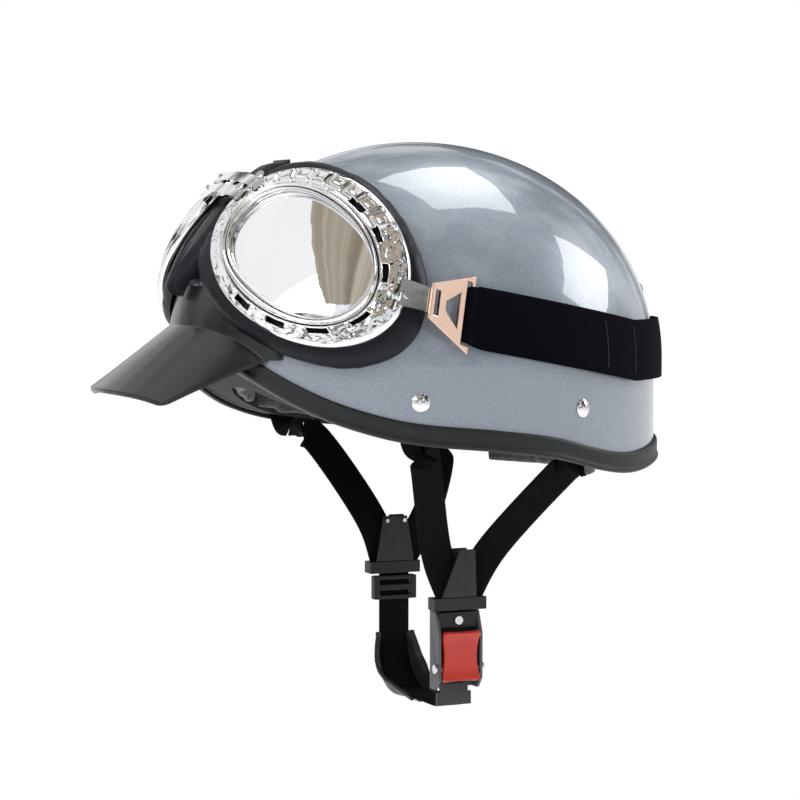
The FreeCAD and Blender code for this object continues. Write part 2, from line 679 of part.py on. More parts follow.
def leg_stations(index, side):
    """Stations of one webbing leg from its rivet down into the divider's bar."""
    y, z = RIVET_SPOTS[index]
    p = surface_point(-SHELL_WALL - 1.6, y, z, side)
    n = surface_normal(surface_point(0, y, z, side))
    across = V(-n.y * side, n.x * side, 0)
    edge_z, root_y = LEG_EDGE_Z[index], LEG_ROOT_Y[index]
    top_z = DIVIDER_TOP_Z[side]
    x = side * (DIVIDER_X + PLY * (1 - index))
    free = V(side * EDGE_X, root_y, edge_z - 6)
    neck = V(x, LOOP_Y + LEG_NECK[index], top_z)
    foot = V(x, LOOP_Y + LEG_FOOT[index], top_z - DIVIDER_HEIGHT - 2)
    run = unit(neck - free)
    hang_across = unit(V(side, 0, 0).cross(run)) * side
    if hang_across.y < 0:
        hang_across = hang_across * -1
    hang_face = unit(hang_across.cross(run))
    slant = unit(foot - neck)
    foot_across = V(0, -slant.z, slant.y)
    bend_y = p.y + (root_y - p.y) * 0.4
    bend_face = V(n.x * 0.7, n.y * 0.7, 0.7)
    flat = V(side, 0, 0)
    return [(V(p.x, p.y, z + 9), across, n), (V(p.x, p.y, edge_z + 12), across, n),
            (V(side * (EDGE_X + 15), bend_y, edge_z + 1), across + hang_across, bend_face),
            (free, hang_across, hang_face), (neck, foot_across + hang_across, flat), (foot, foot_across, flat)]


def make_leg(index, side):
    leg = strap(leg_stations(index, side), WEB_WIDTH, WEB_THICK)
    p, n = [a for a in rivet_axes() if a[0].x * side > 0][index]
    return leg.cut(rod(p - n * 12, p + n * 4, RIVET_SHANK_R + 0.05))


def leg_clearance(p, n):
    """Upright channel in the foam's outer face for the webbing, the rivet and its washer."""
    across = V(-n.y, n.x, 0) * (WEB_WIDTH / 2 + CHANNEL_SPARE)
    inner, outer = p - n * CHANNEL_DEPTH, p + n * 4.0
    corners = [inner - across, inner + across, outer + across, outer - across]
    corners = [V(c.x, c.y, SKIRT_Z - 5) for c in corners]
    return Part.Face(Part.makePolygon(corners + corners[:1])).extrude(V(0, 0, p.z + CHANNEL_RISE - SKIRT_Z))


def facing(x, pts, thick):
    loop = [V(x, LOOP_Y + y, z) for y, z in pts]
    return Part.Face(Part.makePolygon(loop + loop[:1])).extrude(V(thick, 0, 0))


def make_divider(side):
    """Outer and inner facing plates that close the junction of the two legs."""
    x, half = side * DIVIDER_X, DIVIDER_THICK / 2
    high = DIVIDER_TOP_Z[side]
    low = high - DIVIDER_HEIGHT + 0.3
    outer = facing(x + side * (half - 1.2), [(-11.4, low), (9.8, low), (9.0, high), (-0.4, high)], side * 1.2)
    inner = facing(x - side * half, [(-12, low), (12, low), (7.5, high), (-7.5, high)], side * 1.2)
    return [outer, inner]


def make_bar(side):
    """Moulded bar that grips the legs and the web below them."""
    x, half = side * DIVIDER_X, DIVIDER_THICK / 2
    high = DIVIDER_TOP_Z[side] - DIVIDER_HEIGHT
    low = high - BAR_HEIGHT
    bar = box((x - half, LOOP_Y - BAR_HALF, low), (x + half, LOOP_Y + BAR_HALF, high))
    for index in (0, 1):
        bar = bar.cut(strap(leg_stations(index, side)[4:], WEB_WIDTH + 0.4, WEB_THICK + 0.3))
    web_x = sole_x(side)
    slot = box((web_x - WEB_THICK / 2 - 0.15, LOOP_Y - WEB_WIDTH / 2 - 0.2, low - 5),
               (web_x + WEB_THICK / 2 + 0.15, LOOP_Y + WEB_WIDTH / 2 + 0.2, high + 5))
    return bar.cut(slot)


def sole_x(side):
    """The web below a divider is its innermost ply."""
    return side * (DIVIDER_X - PLY)


def make_divider_studs():
    studs = []
    half = DIVIDER_THICK / 2
    for side in (1, -1):
        for dy in (-5.5, 5.5):
            spot = V(side * (DIVIDER_X - half), LOOP_Y + dy, DIVIDER_TOP_Z[side] - 2.6)
            studs.append(rod(spot, spot - V(side * 1.2, 0, 0), 1.2))
    return studs


# ---- ratchet buckle -------------------------------------------------------------------------


def make_buckle_frame():
    """Pressed channel: back plate, two ears and a bridge over the web."""
    back = box((BACK_X, LOOP_Y - BUCKLE_HALF_Y, BUCKLE_LOW_Z),
               (BACK_X + BUCKLE_WALL, LOOP_Y + BUCKLE_HALF_Y, BUCKLE_TOP_Z))
    frame = back
    for side in (-1, 1):
        y0 = LOOP_Y + side * BUCKLE_HALF_Y
        y1 = LOOP_Y + side * (BUCKLE_HALF_Y - BUCKLE_WALL)
        profile = [V(BACK_X, y0, BUCKLE_TOP_Z), V(EAR_X - 5, y0, BUCKLE_TOP_Z),
                   V(EAR_X, y0, BUCKLE_TOP_Z - 12), V(EAR_X, y0, BUCKLE_LOW_Z + 6),
                   V(EAR_X - 5, y0, BUCKLE_LOW_Z), V(BACK_X, y0, BUCKLE_LOW_Z)]
        ear = Part.Face(Part.makePolygon(profile + profile[:1])).extrude(V(0, y1 - y0, 0))
        frame = frame.fuse(ear)
    frame = frame.removeSplitter()
    pin_hole = rod(V(PIN_X, LOOP_Y - 20, PIN_Z), V(PIN_X, LOOP_Y + 20, PIN_Z), PIN_R + 0.03)
    screw_hole = rod(V(BACK_X - 2, LOOP_Y, BUCKLE_TOP_Z - 5), V(BACK_X + 9, LOOP_Y, BUCKLE_TOP_Z - 5), 1.3)
    return frame.cut(pin_hole).cut(screw_hole)


def make_buckle_cover():
    inner = LOOP_Y - BUCKLE_HALF_Y + BUCKLE_WALL + 0.2
    outer = LOOP_Y + BUCKLE_HALF_Y - BUCKLE_WALL - 0.2
    cover = box((sole_x(1) + WEB_THICK / 2 + 0.3, inner, BUCKLE_TOP_Z - 9.0),
                (EAR_X - 3.4, outer, BUCKLE_TOP_Z - 0.5))
    return cover.cut(cover_screw_hole())


def cover_screw_hole():
    z = BUCKLE_TOP_Z - 5
    return rod(V(BACK_X - 5, LOOP_Y, z), V(EAR_X, LOOP_Y, z), 1.3)


def make_cover_screw():
    z = BUCKLE_TOP_Z - 5
    shank = rod(V(BACK_X + 0.2, LOOP_Y, z), V(EAR_X - 3.3, LOOP_Y, z), 1.2)
    head = rod(V(EAR_X - 3.3, LOOP_Y, z), V(EAR_X - 2.3, LOOP_Y, z), 2.4)
    return shank.fuse(head)


def make_lever_pin():
    reach = BUCKLE_HALF_Y + 0.1
    shank = rod(V(PIN_X, LOOP_Y - reach, PIN_Z), V(PIN_X, LOOP_Y + reach, PIN_Z), PIN_R)
    for side in (-1, 1):
        face = LOOP_Y + side * reach
        shank = shank.fuse(rod(V(PIN_X, face, PIN_Z), V(PIN_X, face + side * 1.3, PIN_Z), 2.6))
    return shank


def make_lever():
    """Red pull: a waisted plate with a curled top, two lugs on the pin and a pawl."""
    waist, half = LEVER_HALF_Y - 2.2, LEVER_HALF_Y
    mid_z = (LEVER_TOP_Z + LEVER_LOW_Z) / 2
    x = PIN_X + 1.2
    left_low, left_top = V(x, LOOP_Y - half, LEVER_LOW_Z), V(x, LOOP_Y - half, LEVER_TOP_Z)
    right_low, right_top = V(x, LOOP_Y + half, LEVER_LOW_Z), V(x, LOOP_Y + half, LEVER_TOP_Z)
    left = Part.Arc(left_low, V(x, LOOP_Y - waist, mid_z), left_top)
    right = Part.Arc(right_top, V(x, LOOP_Y + waist, mid_z), right_low)
    edges = [left.toShape(), Part.makeLine(left_top, right_top),
             right.toShape(), Part.makeLine(right_low, left_low)]
    plate = Part.Face(Part.Wire(edges)).extrude(V(3.4, 0, 0))
    lip = box((x + 3.4, LOOP_Y - half + 0.6, LEVER_TOP_Z - 5), (x + 6.0, LOOP_Y + half - 0.6, LEVER_TOP_Z))
    curl = V(x + 2.0, LOOP_Y - 20, LEVER_TOP_Z - 4)
    lip = lip.common(rod(curl, curl + V(0, 40, 0), 4.2))
    lever = plate.fuse(lip)
    for side in (-1, 1):
        y0, y1 = LOOP_Y + side * 5.5, LOOP_Y + side * 9.0
        lug = rod(V(PIN_X, y0, PIN_Z), V(PIN_X, y1, PIN_Z), 3.2)
        lever = lever.fuse(lug)
    tip_x = TONGUE_OUT_X + TOOTH + 0.35
    pawl = box((tip_x, LOOP_Y - 5, PIN_Z + 8), (x + 0.5, LOOP_Y + 5, PIN_Z + 11))
    lever = lever.fuse(pawl).removeSplitter()
    coil_room = rod(V(PIN_X, LOOP_Y - 5.2, PIN_Z), V(PIN_X, LOOP_Y + 5.2, PIN_Z), COIL_R + 0.4)
    pin_room = rod(V(PIN_X, LOOP_Y - 20, PIN_Z), V(PIN_X, LOOP_Y + 20, PIN_Z), PIN_R + 0.05)
    return lever.cut(coil_room).cut(pin_room)


def make_lever_spring():
    """Torsion spring on the pin between the lever's lugs, with one leg towards the back plate."""
    coil = rod(V(PIN_X, LOOP_Y - 4.6, PIN_Z), V(PIN_X, LOOP_Y + 4.6, PIN_Z), COIL_R)
    leg = rod(V(PIN_X - 2.0, LOOP_Y + 4.1, PIN_Z), V(PIN_X - 3.2, LOOP_Y + 4.1, PIN_Z + 5.5), 0.4)
    bore = rod(V(PIN_X, LOOP_Y - 6, PIN_Z), V(PIN_X, LOOP_Y + 6, PIN_Z), PIN_R + 0.1)
    return coil.fuse(leg).cut(bore)


def make_tongue():
    """Toothed tongue that slides up the channel, with a flat tail for the web."""
    top, tail = BUCKLE_TOP_Z - 11, -151.0
    half = 8.6
    tongue = box((TONGUE_IN_X, LOOP_Y - half, tail), (TONGUE_OUT_X, LOOP_Y + half, top))
    tongue = tongue.fuse(box((TONGUE_IN_X, LOOP_Y - 10.5, tail), (TONGUE_OUT_X, LOOP_Y + 10.5, tail + 7.5)))
    count = int((top - BUCKLE_LOW_Z - 2) / TOOTH_PITCH)
    for i in range(count):
        z = top - 1 - i * TOOTH_PITCH
        ramp = [V(TONGUE_OUT_X, LOOP_Y - 5, z), V(TONGUE_OUT_X + TOOTH, LOOP_Y - 5, z - TOOTH_PITCH + 0.4),
                V(TONGUE_OUT_X, LOOP_Y - 5, z - TOOTH_PITCH + 0.4)]
        tongue = tongue.fuse(Part.Face(Part.makePolygon(ramp + ramp[:1])).extrude(V(0, 10, 0)))
    return tongue.removeSplitter()


# ---- chin web, pad and slider ----------------------------------------------------------------


def bend(centre_x, centre_z, radius, from_deg, to_deg, steps):
    """Stations round an arc of the loop, seen from the front."""
    stations = []
    for i in range(steps + 1):
        a = math.radians(from_deg + (to_deg - from_deg) * i / steps)
        face = V(math.cos(a), 0, math.sin(a))
        stations.append((V(centre_x, LOOP_Y, centre_z) + face * radius, V(0, 1, 0), face))
    return stations


def chin_stations():
    """The chin web from the right divider, under the chin, up to the tongue's tail."""
    x0 = sole_x(-1)
    top = DIVIDER_TOP_Z[-1] - 8
    right = bend(x0 + LOOP_BEND_R, LOOP_LOW_Z + LOOP_BEND_R, LOOP_BEND_R, 180, 270, 6)
    tail_x = TONGUE_IN_X - 0.4 - WEB_THICK / 2
    left = bend(tail_x - TAIL_BEND_R, LOOP_LOW_Z + TAIL_BEND_R, TAIL_BEND_R, 270, 360, 4)
    start = (V(x0, LOOP_Y, top), V(0, 1, 0), V(-1, 0, 0))
    return [start] + right + left


def make_left_web():
    x = sole_x(1)
    high, low = DIVIDER_TOP_Z[1] - 8, BUCKLE_TOP_Z - 9.0
    half_x, half_y = WEB_THICK / 2, WEB_WIDTH / 2
    web = box((x - half_x, LOOP_Y - half_y, low), (x + half_x, LOOP_Y + half_y, high))
    return web.cut(cover_screw_hole())


def make_chin_pad():
    x0 = sole_x(-1)
    path = bend(x0 + LOOP_BEND_R, LOOP_LOW_Z + LOOP_BEND_R, LOOP_BEND_R, 180, 270, 6)
    first = (path[0][0] + V(0, 0, 5), path[0][1], path[0][2])
    last = (path[-1][0] + V(10, 0, 0), path[-1][1], path[-1][2])
    sleeve = strap([first] + path + [last], PAD_WIDTH, PAD_THICK)
    inner_first = (first[0] + V(0, 0, 5), first[1], first[2])
    inner_last = (last[0] + V(5, 0, 0), last[1], last[2])
    room = strap([inner_first] + path + [inner_last], WEB_WIDTH + 0.8, WEB_THICK + 0.7)
    return sleeve.cut(room)


def make_slider():
    """Three-bar slider threaded on the right web."""
    x = sole_x(-1)
    body = box((x - SLIDER_HALF_X, LOOP_Y - SLIDER_HALF_Y, SLIDER_Z - SLIDER_HALF_Z),
               (x + SLIDER_HALF_X, LOOP_Y + SLIDER_HALF_Y, SLIDER_Z + SLIDER_HALF_Z))
    room_x, room_y = WEB_THICK / 2 + 0.3, WEB_WIDTH / 2 + 0.4
    body = body.cut(box((x - room_x, LOOP_Y - room_y, SLIDER_Z - 20),
                        (x + room_x, LOOP_Y + room_y, SLIDER_Z + 20)))
    middle, half = SLIDER_WINDOW
    for dz in (-middle, middle):
        body = body.cut(box((x - 6, LOOP_Y - room_y, SLIDER_Z + dz - half),
                            (x + 6, LOOP_Y + room_y, SLIDER_Z + dz + half)))
    return body


# ---- assembly --------------------------------------------------------------------------------
def save_helmet():
    clearances = [leg_clearance(p, n) for p, n in rivet_axes()]
    save("shell", make_shell())
    save("foam_liner", make_foam(clearances))
    for name, pad in make_linings().items():
        save(name, pad)
    save("edge_trim", make_trim())
    save("peak", make_peak())
    save("peak_screws", group(make_peak_screws()))
    save("strap_rivets", group(make_strap_rivets()))
    save("rivet_washers", group(make_rivet_washers()))
    save("keeper_rivet", make_keeper_rivet())
    save("keeper_stud", make_keeper_stud())
    save("keeper_root", make_keeper_root())
    save("keeper_tab", make_keeper_tab())
    save("keeper_cap", make_keeper_cap())


def save_goggles():
    for name, piece in make_cup().items():
        save(name + "_left", piece)
        save(name + "_right", mirrored(piece))
    save("nose_pad", make_nose_pad())
    links, screws = make_bridge()
    save("bridge_links", group(links))
    save("bridge_screws", group(screws))
    tab, rivet = make_side_tab()
    save("side_tab_left", tab)
    save("side_tab_right", mirrored(tab))
    save("tab_rivets", group([rivet, mirrored(rivet)]))
    hook = make_hook()
    save("strap_hook_left", hook)
    save("strap_hook_right", mirrored(hook))
    save("elastic_strap", make_elastic())
    save("elastic_fold", make_elastic_fold())


def save_harness(legs):
    names = {0: "front", 1: "rear"}
    sides = {1: "left", -1: "right"}
    for index, side in legs:
        save("webbing_%s_%s" % (names[index], sides[side]), make_leg(index, side))
    for side in (1, -1):
        save("divider_" + sides[side], group(make_divider(side)))
        save("divider_bar_" + sides[side], make_bar(side))
    save("divider_studs", group(make_divider_studs()))
    save("buckle_web", make_left_web())
    save("buckle_frame", make_buckle_frame())
    save("buckle_cover", make_buckle_cover())
    save("cover_screw", make_cover_screw())
    save("lever_pin", make_lever_pin())
    save("lever_spring", make_lever_spring())
    save("release_lever", make_lever())
    save("buckle_tongue", make_tongue())
    save("chin_web", strap(chin_stations(), WEB_WIDTH, WEB_THICK))
    save("chin_pad", make_chin_pad())
    save("length_slider", make_slider())


def main():
    os.makedirs(PART_DIR, exist_ok=True)
    legs = [(i, s) for i in (0, 1) for s in (1, -1)]
    save_helmet()
    save_goggles()
    save_harness(legs)


main()
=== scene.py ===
import math

import bmesh
import bpy
from bpy.props import FloatProperty, FloatVectorProperty, PointerProperty
from mathutils import Matrix, Vector, noise


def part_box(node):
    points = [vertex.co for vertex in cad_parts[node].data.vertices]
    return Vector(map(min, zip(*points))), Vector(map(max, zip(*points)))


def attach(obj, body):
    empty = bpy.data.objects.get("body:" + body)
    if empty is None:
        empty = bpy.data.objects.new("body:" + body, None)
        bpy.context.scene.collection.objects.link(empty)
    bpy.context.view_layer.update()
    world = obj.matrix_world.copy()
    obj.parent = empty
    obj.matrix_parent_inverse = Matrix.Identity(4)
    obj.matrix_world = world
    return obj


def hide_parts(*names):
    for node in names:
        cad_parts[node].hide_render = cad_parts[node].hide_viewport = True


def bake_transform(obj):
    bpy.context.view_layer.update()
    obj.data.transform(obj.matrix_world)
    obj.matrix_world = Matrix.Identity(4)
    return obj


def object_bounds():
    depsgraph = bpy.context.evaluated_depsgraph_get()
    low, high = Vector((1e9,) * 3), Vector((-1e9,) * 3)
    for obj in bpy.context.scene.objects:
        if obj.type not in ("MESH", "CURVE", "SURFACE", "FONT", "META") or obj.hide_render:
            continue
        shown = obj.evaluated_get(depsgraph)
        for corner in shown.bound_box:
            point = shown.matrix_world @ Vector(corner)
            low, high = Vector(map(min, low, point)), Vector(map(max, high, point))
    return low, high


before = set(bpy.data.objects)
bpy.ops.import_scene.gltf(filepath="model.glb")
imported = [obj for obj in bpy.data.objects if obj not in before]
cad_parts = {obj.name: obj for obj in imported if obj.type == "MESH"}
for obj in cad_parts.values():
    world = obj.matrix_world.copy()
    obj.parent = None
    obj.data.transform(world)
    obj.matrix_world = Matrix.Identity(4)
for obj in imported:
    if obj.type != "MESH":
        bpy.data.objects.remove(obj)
CAD_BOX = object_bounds()

bl_info = {
    "name": "Half Helmet Looks",
    "version": (1, 0, 0),
    "blender": (4, 5, 0),
    "location": "3D View > Sidebar > Helmet",
    "description": "Builds the looks of a half helmet with goggles around its packed CAD frame",
    "category": "Object",
}

# Shapes below are worked out in millimetres, +Z up, the helmet facing -Y, the wearer's left +X.
MM = 0.001
V = Vector

# ---- sizes taken from the frame ---------------------------------------------------------
SHELL_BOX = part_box("shell")
HALF_WIDTH = SHELL_BOX[1][0] / MM
HALF_LENGTH = SHELL_BOX[1][1] / MM
WIDEST_Z = 44.0
CROWN_RISE = SHELL_BOX[1][2] / MM - WIDEST_Z
SHELL_WALL = 3.6

# lower edge of the helmet, (y, z) from brow to nape
EDGE_LINE = ((-175, 66), (-142, 52), (-122, 36), (-104, 23), (-82, 12), (-50, 3), (0, -2.5),
             (36, -7.5), (66, -15), (90, -18.5), (114, -17), (175, -6))

# goggle cup: its layout plane and its outlines (centre along, centre across, half sizes)
CUP_CENTRE = V((81.2, -98.6, 104.8))
CUP_YAW, CUP_PITCH, CUP_ROLL = 45.0, 26.0, -35.0
CUP_SPLIT_X = 4.0
PAD_SPLIT_X = 14.0
OPENING = (-3.8, -2.0, 45.5, 30.5)
BEZEL = (-5.1, -2.6, 51.0, 36.2)
HOUSING = (-3.5, 0.5, 63.5, 47.5)
PAD = (-12.0, -0.5, 79.0, 54.0)
VENT_ANGLES = (84, 59, 31, -10, -42, -70, -94)
VENT_LENGTH = 11.0

ELASTIC_MID_Z, ELASTIC_SLOPE, ELASTIC_FLAT_Y = 67.3, 0.185, 95.0
ELASTIC_HALF = 17.0

RIVET_SPOTS = ((-44.0, 25.0), (54.0, 19.5))
WEB_WIDTH, WEB_THICK = 19.0, 1.5
LOOP_Y = 5.0
DIVIDER_X, DIVIDER_HEIGHT, PLY = 47.0, 27.0, 2.2
DIVIDER_TOP_Z = {1: -62.0, -1: -52.0}
LEG_ROOT_Y, LEG_EDGE_Z, EDGE_X = (-29.0, 52.0), (-3.5, -13.0), 80.0
LEG_NECK, LEG_FOOT = (-14.0, 22.0), (-3.0, 3.5)
LOOP_LOW_Z, LOOP_BEND_R, TAIL_BEND_R = -152.0, 24.0, 9.0


# ---- form of the shell --------------------------------------------------------------------
def surface_point(off, y, z, side=1):
    """Point of the shell grown by off, at a given y and z."""
    rise = max(z - WIDEST_Z, 0.0) / (CROWN_RISE + off)
    share = max(1.0 - rise * rise - (y / (HALF_LENGTH + off)) ** 2, 0.0)
    return V((side * (HALF_WIDTH + off) * math.sqrt(share), y, z))


def surface_normal(p):
    rise = max(p.z - WIDEST_Z, 0.0)
    return V((p.x / HALF_WIDTH ** 2, p.y / HALF_LENGTH ** 2, rise / CROWN_RISE ** 2)).normalized()


def round_point(off, angle, z):
    """Point of the grown shell at a plan angle from +X and a height."""
    rise = max(z - WIDEST_Z, 0.0) / (CROWN_RISE + off)
    k = math.sqrt(max(1.0 - rise * rise, 0.0))
    return V(((HALF_WIDTH + off) * k * math.cos(angle), (HALF_LENGTH + off) * k * math.sin(angle), z))


def drop_on(flat, n, off):
    """Slide a point along n onto the shell grown by off."""
    hx, hy, rise = HALF_WIDTH + off, HALF_LENGTH + off, CROWN_RISE + off
    for upper in (1.0, 0.0):
        dz = (flat.z - WIDEST_Z) / rise * upper
        a = (n.x / hx) ** 2 + (n.y / hy) ** 2 + (n.z / rise) ** 2 * upper
        b = n.x * flat.x / hx ** 2 + n.y * flat.y / hy ** 2 + n.z * dz / rise
        c = (flat.x / hx) ** 2 + (flat.y / hy) ** 2 + dz ** 2 - 1.0
        t = (math.sqrt(max(b * b - a * c, 0.0)) - b) / a
        spot = flat + n * t
        if spot.z >= WIDEST_Z:
            return spot
    return spot


def smooth_line(points, x):
    """Height of a smooth curve through (x, height) points."""
    last = len(points) - 1
    i = 0
    while i < last - 1 and points[i + 1][0] < x:
        i += 1
    (x0, y0), (x1, y1) = points[i], points[i + 1]
    xa, ya = points[max(i - 1, 0)]
    xb, yb = points[min(i + 2, last)]
    t = min(max((x - x0) / (x1 - x0), 0.0), 1.0)
    m0 = (y1 - ya) / (x1 - xa) * (x1 - x0)
    m1 = (yb - y0) / (xb - x0) * (x1 - x0)
    t2, t3 = t * t, t * t * t
    return (2 * t3 - 3 * t2 + 1) * y0 + (t3 - 2 * t2 + t) * m0 + (3 * t2 - 2 * t3) * y1 + (t3 - t2) * m1


def step_up(low, high, x):
    t = min(max((x - low) / (high - low), 0.0), 1.0)
    return t * t * (3 - 2 * t)


# ---- mesh helpers -----------------------------------------------------------------------------
def new_piece(name, verts, faces, runs=None, smooth=True):
    """A mesh object from millimetre points. runs are (along, across) in millimetres for straps."""
    mesh = bpy.data.meshes.new(name)
    mesh.from_pydata([v * MM for v in verts], [], faces)
    mesh.validate()
    if runs is not None:
        attribute = mesh.attributes.new("run", "FLOAT_VECTOR", "POINT")
        for item, (along, across) in zip(attribute.data, runs):
            item.vector = (along, across, 0.0)
    piece = bpy.data.objects.new(name, mesh)
    bpy.context.scene.collection.objects.link(piece)
    for polygon in mesh.polygons:
        polygon.use_smooth = smooth
    return piece


def grid_faces(rows, columns, close_rows=False, close_columns=False, skip=()):
    """Quads over a grid of points stored row by row."""
    faces = []
    for i in range(rows if close_rows else rows - 1):
        for j in range(columns if close_columns else columns - 1):
            if (i, j) in skip:
                continue
            i2, j2 = (i + 1) % rows, (j + 1) % columns
            faces.append((i * columns + j, i2 * columns + j, i2 * columns + j2, i * columns + j2))
    return faces


def grid_piece(name, grid, close_rows=False, close_columns=False, skip=(), caps=False, runs=None):
    rows, columns = len(grid), len(grid[0])
    faces = grid_faces(rows, columns, close_rows, close_columns, skip)
    if caps:
        faces.append(tuple(range(columns)))
        faces.append(tuple(reversed(range((rows - 1) * columns, rows * columns))))
    piece = new_piece(name, [p for row in grid for p in row], faces, runs)
    face_outward(piece)
    return piece


def face_outward(piece):
    mesh = bmesh.new()
    mesh.from_mesh(piece.data)
    bmesh.ops.recalc_face_normals(mesh, faces=mesh.faces)
    mesh.to_mesh(piece.data)
    mesh.free()


def bake_modifiers(piece):
    """Turn the modifiers of a new piece into its mesh."""
    depsgraph = bpy.context.evaluated_depsgraph_get()
    mesh = bpy.data.meshes.new_from_object(piece.evaluated_get(depsgraph))
    piece.modifiers.clear()
    old = piece.data
    piece.data = mesh
    bpy.data.meshes.remove(old)
    return piece


def add_modifier(piece, kind, **values):
    modifier = piece.modifiers.new(kind.title(), kind)
    for key, value in values.items():
        setattr(modifier, key, value)
    return modifier


def mirrored_copy(piece, name):
    """The same piece for the wearer's other side."""
    mesh = piece.data.copy()
    mesh.name = name
    mesh.transform(Matrix.Diagonal((-1, 1, 1, 1)))
    mesh.flip_normals()
    twin = bpy.data.objects.new(name, mesh)
    bpy.context.scene.collection.objects.link(twin)
    return twin


def joined(name, pieces):
    """Several new pieces as one, keeping their materials."""
    mesh = bmesh.new()
    materials = []
    for piece in pieces:
        start = len(mesh.faces)
        mesh.from_mesh(piece.data)
        mesh.faces.ensure_lookup_table()
        shift = {}
        for index, material in enumerate(piece.data.materials):
            if material not in materials:
                materials.append(material)
            shift[index] = materials.index(material)
        for face in mesh.faces[start:]:
            face.material_index = shift.get(face.material_index, 0)
        old = piece.data
        bpy.data.objects.remove(piece)
        bpy.data.meshes.remove(old)
    out = bpy.data.meshes.new(name)
    mesh.to_mesh(out)
    mesh.free()
    for material in materials:
        out.materials.append(material)
    whole = bpy.data.objects.new(name, out)
    bpy.context.scene.collection.objects.link(whole)
    return whole


def finish_piece(piece, body, material, replaces=()):
    """Give a new piece its material and its body, and hide the CAD nodes that it replaces."""
    if material is not None:
        piece.data.materials.clear()
        piece.data.materials.append(material)
    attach(piece, body)
    if replaces:
        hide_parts(*replaces)
    return piece


def dress(names, material, round_edge=0.0):
    """A material for CAD nodes, with a small rounded edge where round_edge is more than 0."""
    for name in names:
        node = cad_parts[name]
        if not node.material_slots:
            raise RuntimeError("CAD node %s has no material slot" % name)
        for item in node.material_slots:
            item.material = material
        if round_edge > 0:
            add_modifier(node, "WELD", merge_threshold=0.002 * MM)
            add_modifier(node, "BEVEL", width=round_edge * MM, segments=2, limit_method="ANGLE",
                         angle_limit=math.radians(40), harden_normals=False)
            add_modifier(node, "WEIGHTED_NORMAL", keep_sharp=True)


def both(stem):
    return [stem + "_left", stem + "_right"]


# ---- shader node groups: effects that several materials share -----------------------------------
def effect(name, inputs, outputs):
    """A new shader group with (name, socket type, default) inputs and (name, socket type) outputs."""
    group = bpy.data.node_groups.new(name, "ShaderNodeTree")
    for label, kind, default in inputs:
        socket = group.interface.new_socket(label, in_out="INPUT", socket_type=kind)
        if default is not None:
            socket.default_value = default
    for label, kind in outputs:
        group.interface.new_socket(label, in_out="OUTPUT", socket_type=kind)
    return group, group.nodes.new("NodeGroupInput"), group.nodes.new("NodeGroupOutput")


def node(tree, kind, links=None, **values):
    """A node with its plain properties set and its inputs linked or given values."""
    made = tree.nodes.new(kind)
    for key, value in values.items():
        setattr(made, key, value)
    for key, source in (links or {}).items():
        if isinstance(source, bpy.types.NodeSocket):
            tree.links.new(source, made.inputs[key])
        else:
            made.inputs[key].default_value = source
    return made


def maths(tree, operation, a, b=0.0):
    made = node(tree, "ShaderNodeMath", {0: a, 1: b}, operation=operation)
    return made.outputs[0]


def blend_colours(tree, factor, a, b):
    made = node(tree, "ShaderNodeMix", {0: factor, 6: a, 7: b}, data_type="RGBA")
    return made.outputs[2]


def spread(tree, value, low, high, to_low=0.0, to_high=1.0):
    made = node(tree, "ShaderNodeMapRange", {0: value, 1: low, 2: high, 3: to_low, 4: to_high})
    return made.outputs[0]


def make_grain():
    """Pebbled grain of leather and moulded plastic, as a height from 0 to 1."""
    group, given, out = effect("Grain", [("Scale", "NodeSocketFloat", 900.0)],
                               [("Height", "NodeSocketFloat")])
    place = node(group, "ShaderNodeTexCoord").outputs["Object"]
    cells = node(group, "ShaderNodeTexVoronoi", {"Vector": place, "Scale": given.outputs["Scale"]},
                 feature="DISTANCE_TO_EDGE")
    soft = node(group, "ShaderNodeTexNoise",
                {"Vector": place, "Scale": given.outputs["Scale"], "Detail": 3.0})
    pebble = spread(group, cells.outputs["Distance"], 0.0, 0.25)
    height = maths(group, "MULTIPLY", pebble, 0.7)
    total = maths(group, "ADD", height, maths(group, "MULTIPLY", soft.outputs["Fac"], 0.3))
    group.links.new(total, out.inputs["Height"])
    return group


def make_edge_wear():
    """Mask that is 1 along outer edges, broken up by noise, and 0 on flat faces."""
    group, given, out = effect("Edge Wear", [("Amount", "NodeSocketFloat", 0.5)],
                               [("Mask", "NodeSocketFloat")])
    place = node(group, "ShaderNodeTexCoord").outputs["Object"]
    point = node(group, "ShaderNodeNewGeometry").outputs["Pointiness"]
    patches = node(group, "ShaderNodeTexNoise", {"Vector": place, "Scale": 160.0, "Detail": 4.0})
    edge = spread(group, point, 0.53, 0.62)
    broken = maths(group, "MULTIPLY", edge, spread(group, patches.outputs["Fac"], 0.35, 0.65))
    group.links.new(maths(group, "MULTIPLY", broken, given.outputs["Amount"]), out.inputs["Mask"])
    return group


def make_dust_and_painted_reflection():
    """Faint handling marks: a roughness and a mask that drift over the surface. The mask lightens dust marks
    on plastic and leather, and darkens chrome in patches as a painted reflection.
    """
    group, given, out = effect("Handling and Painted Reflection", [("Roughness", "NodeSocketFloat", 0.4),
                                            ("Drift", "NodeSocketFloat", 0.1)],
                               [("Roughness", "NodeSocketFloat"), ("Mask", "NodeSocketFloat")])
    place = node(group, "ShaderNodeTexCoord").outputs["Object"]
    wide = node(group, "ShaderNodeTexNoise", {"Vector": place, "Scale": 22.0, "Detail": 5.0})
    fine = node(group, "ShaderNodeTexNoise", {"Vector": place, "Scale": 420.0, "Detail": 2.0})
    mask = maths(group, "MULTIPLY", spread(group, wide.outputs["Fac"], 0.35, 0.7),
                 spread(group, fine.outputs["Fac"], 0.3, 0.7, 0.6, 1.0))
    shift = maths(group, "MULTIPLY", maths(group, "SUBTRACT", mask, 0.4), given.outputs["Drift"])
    group.links.new(maths(group, "ADD", given.outputs["Roughness"], shift), out.inputs["Roughness"])
    group.links.new(mask, out.inputs["Mask"])
    return group


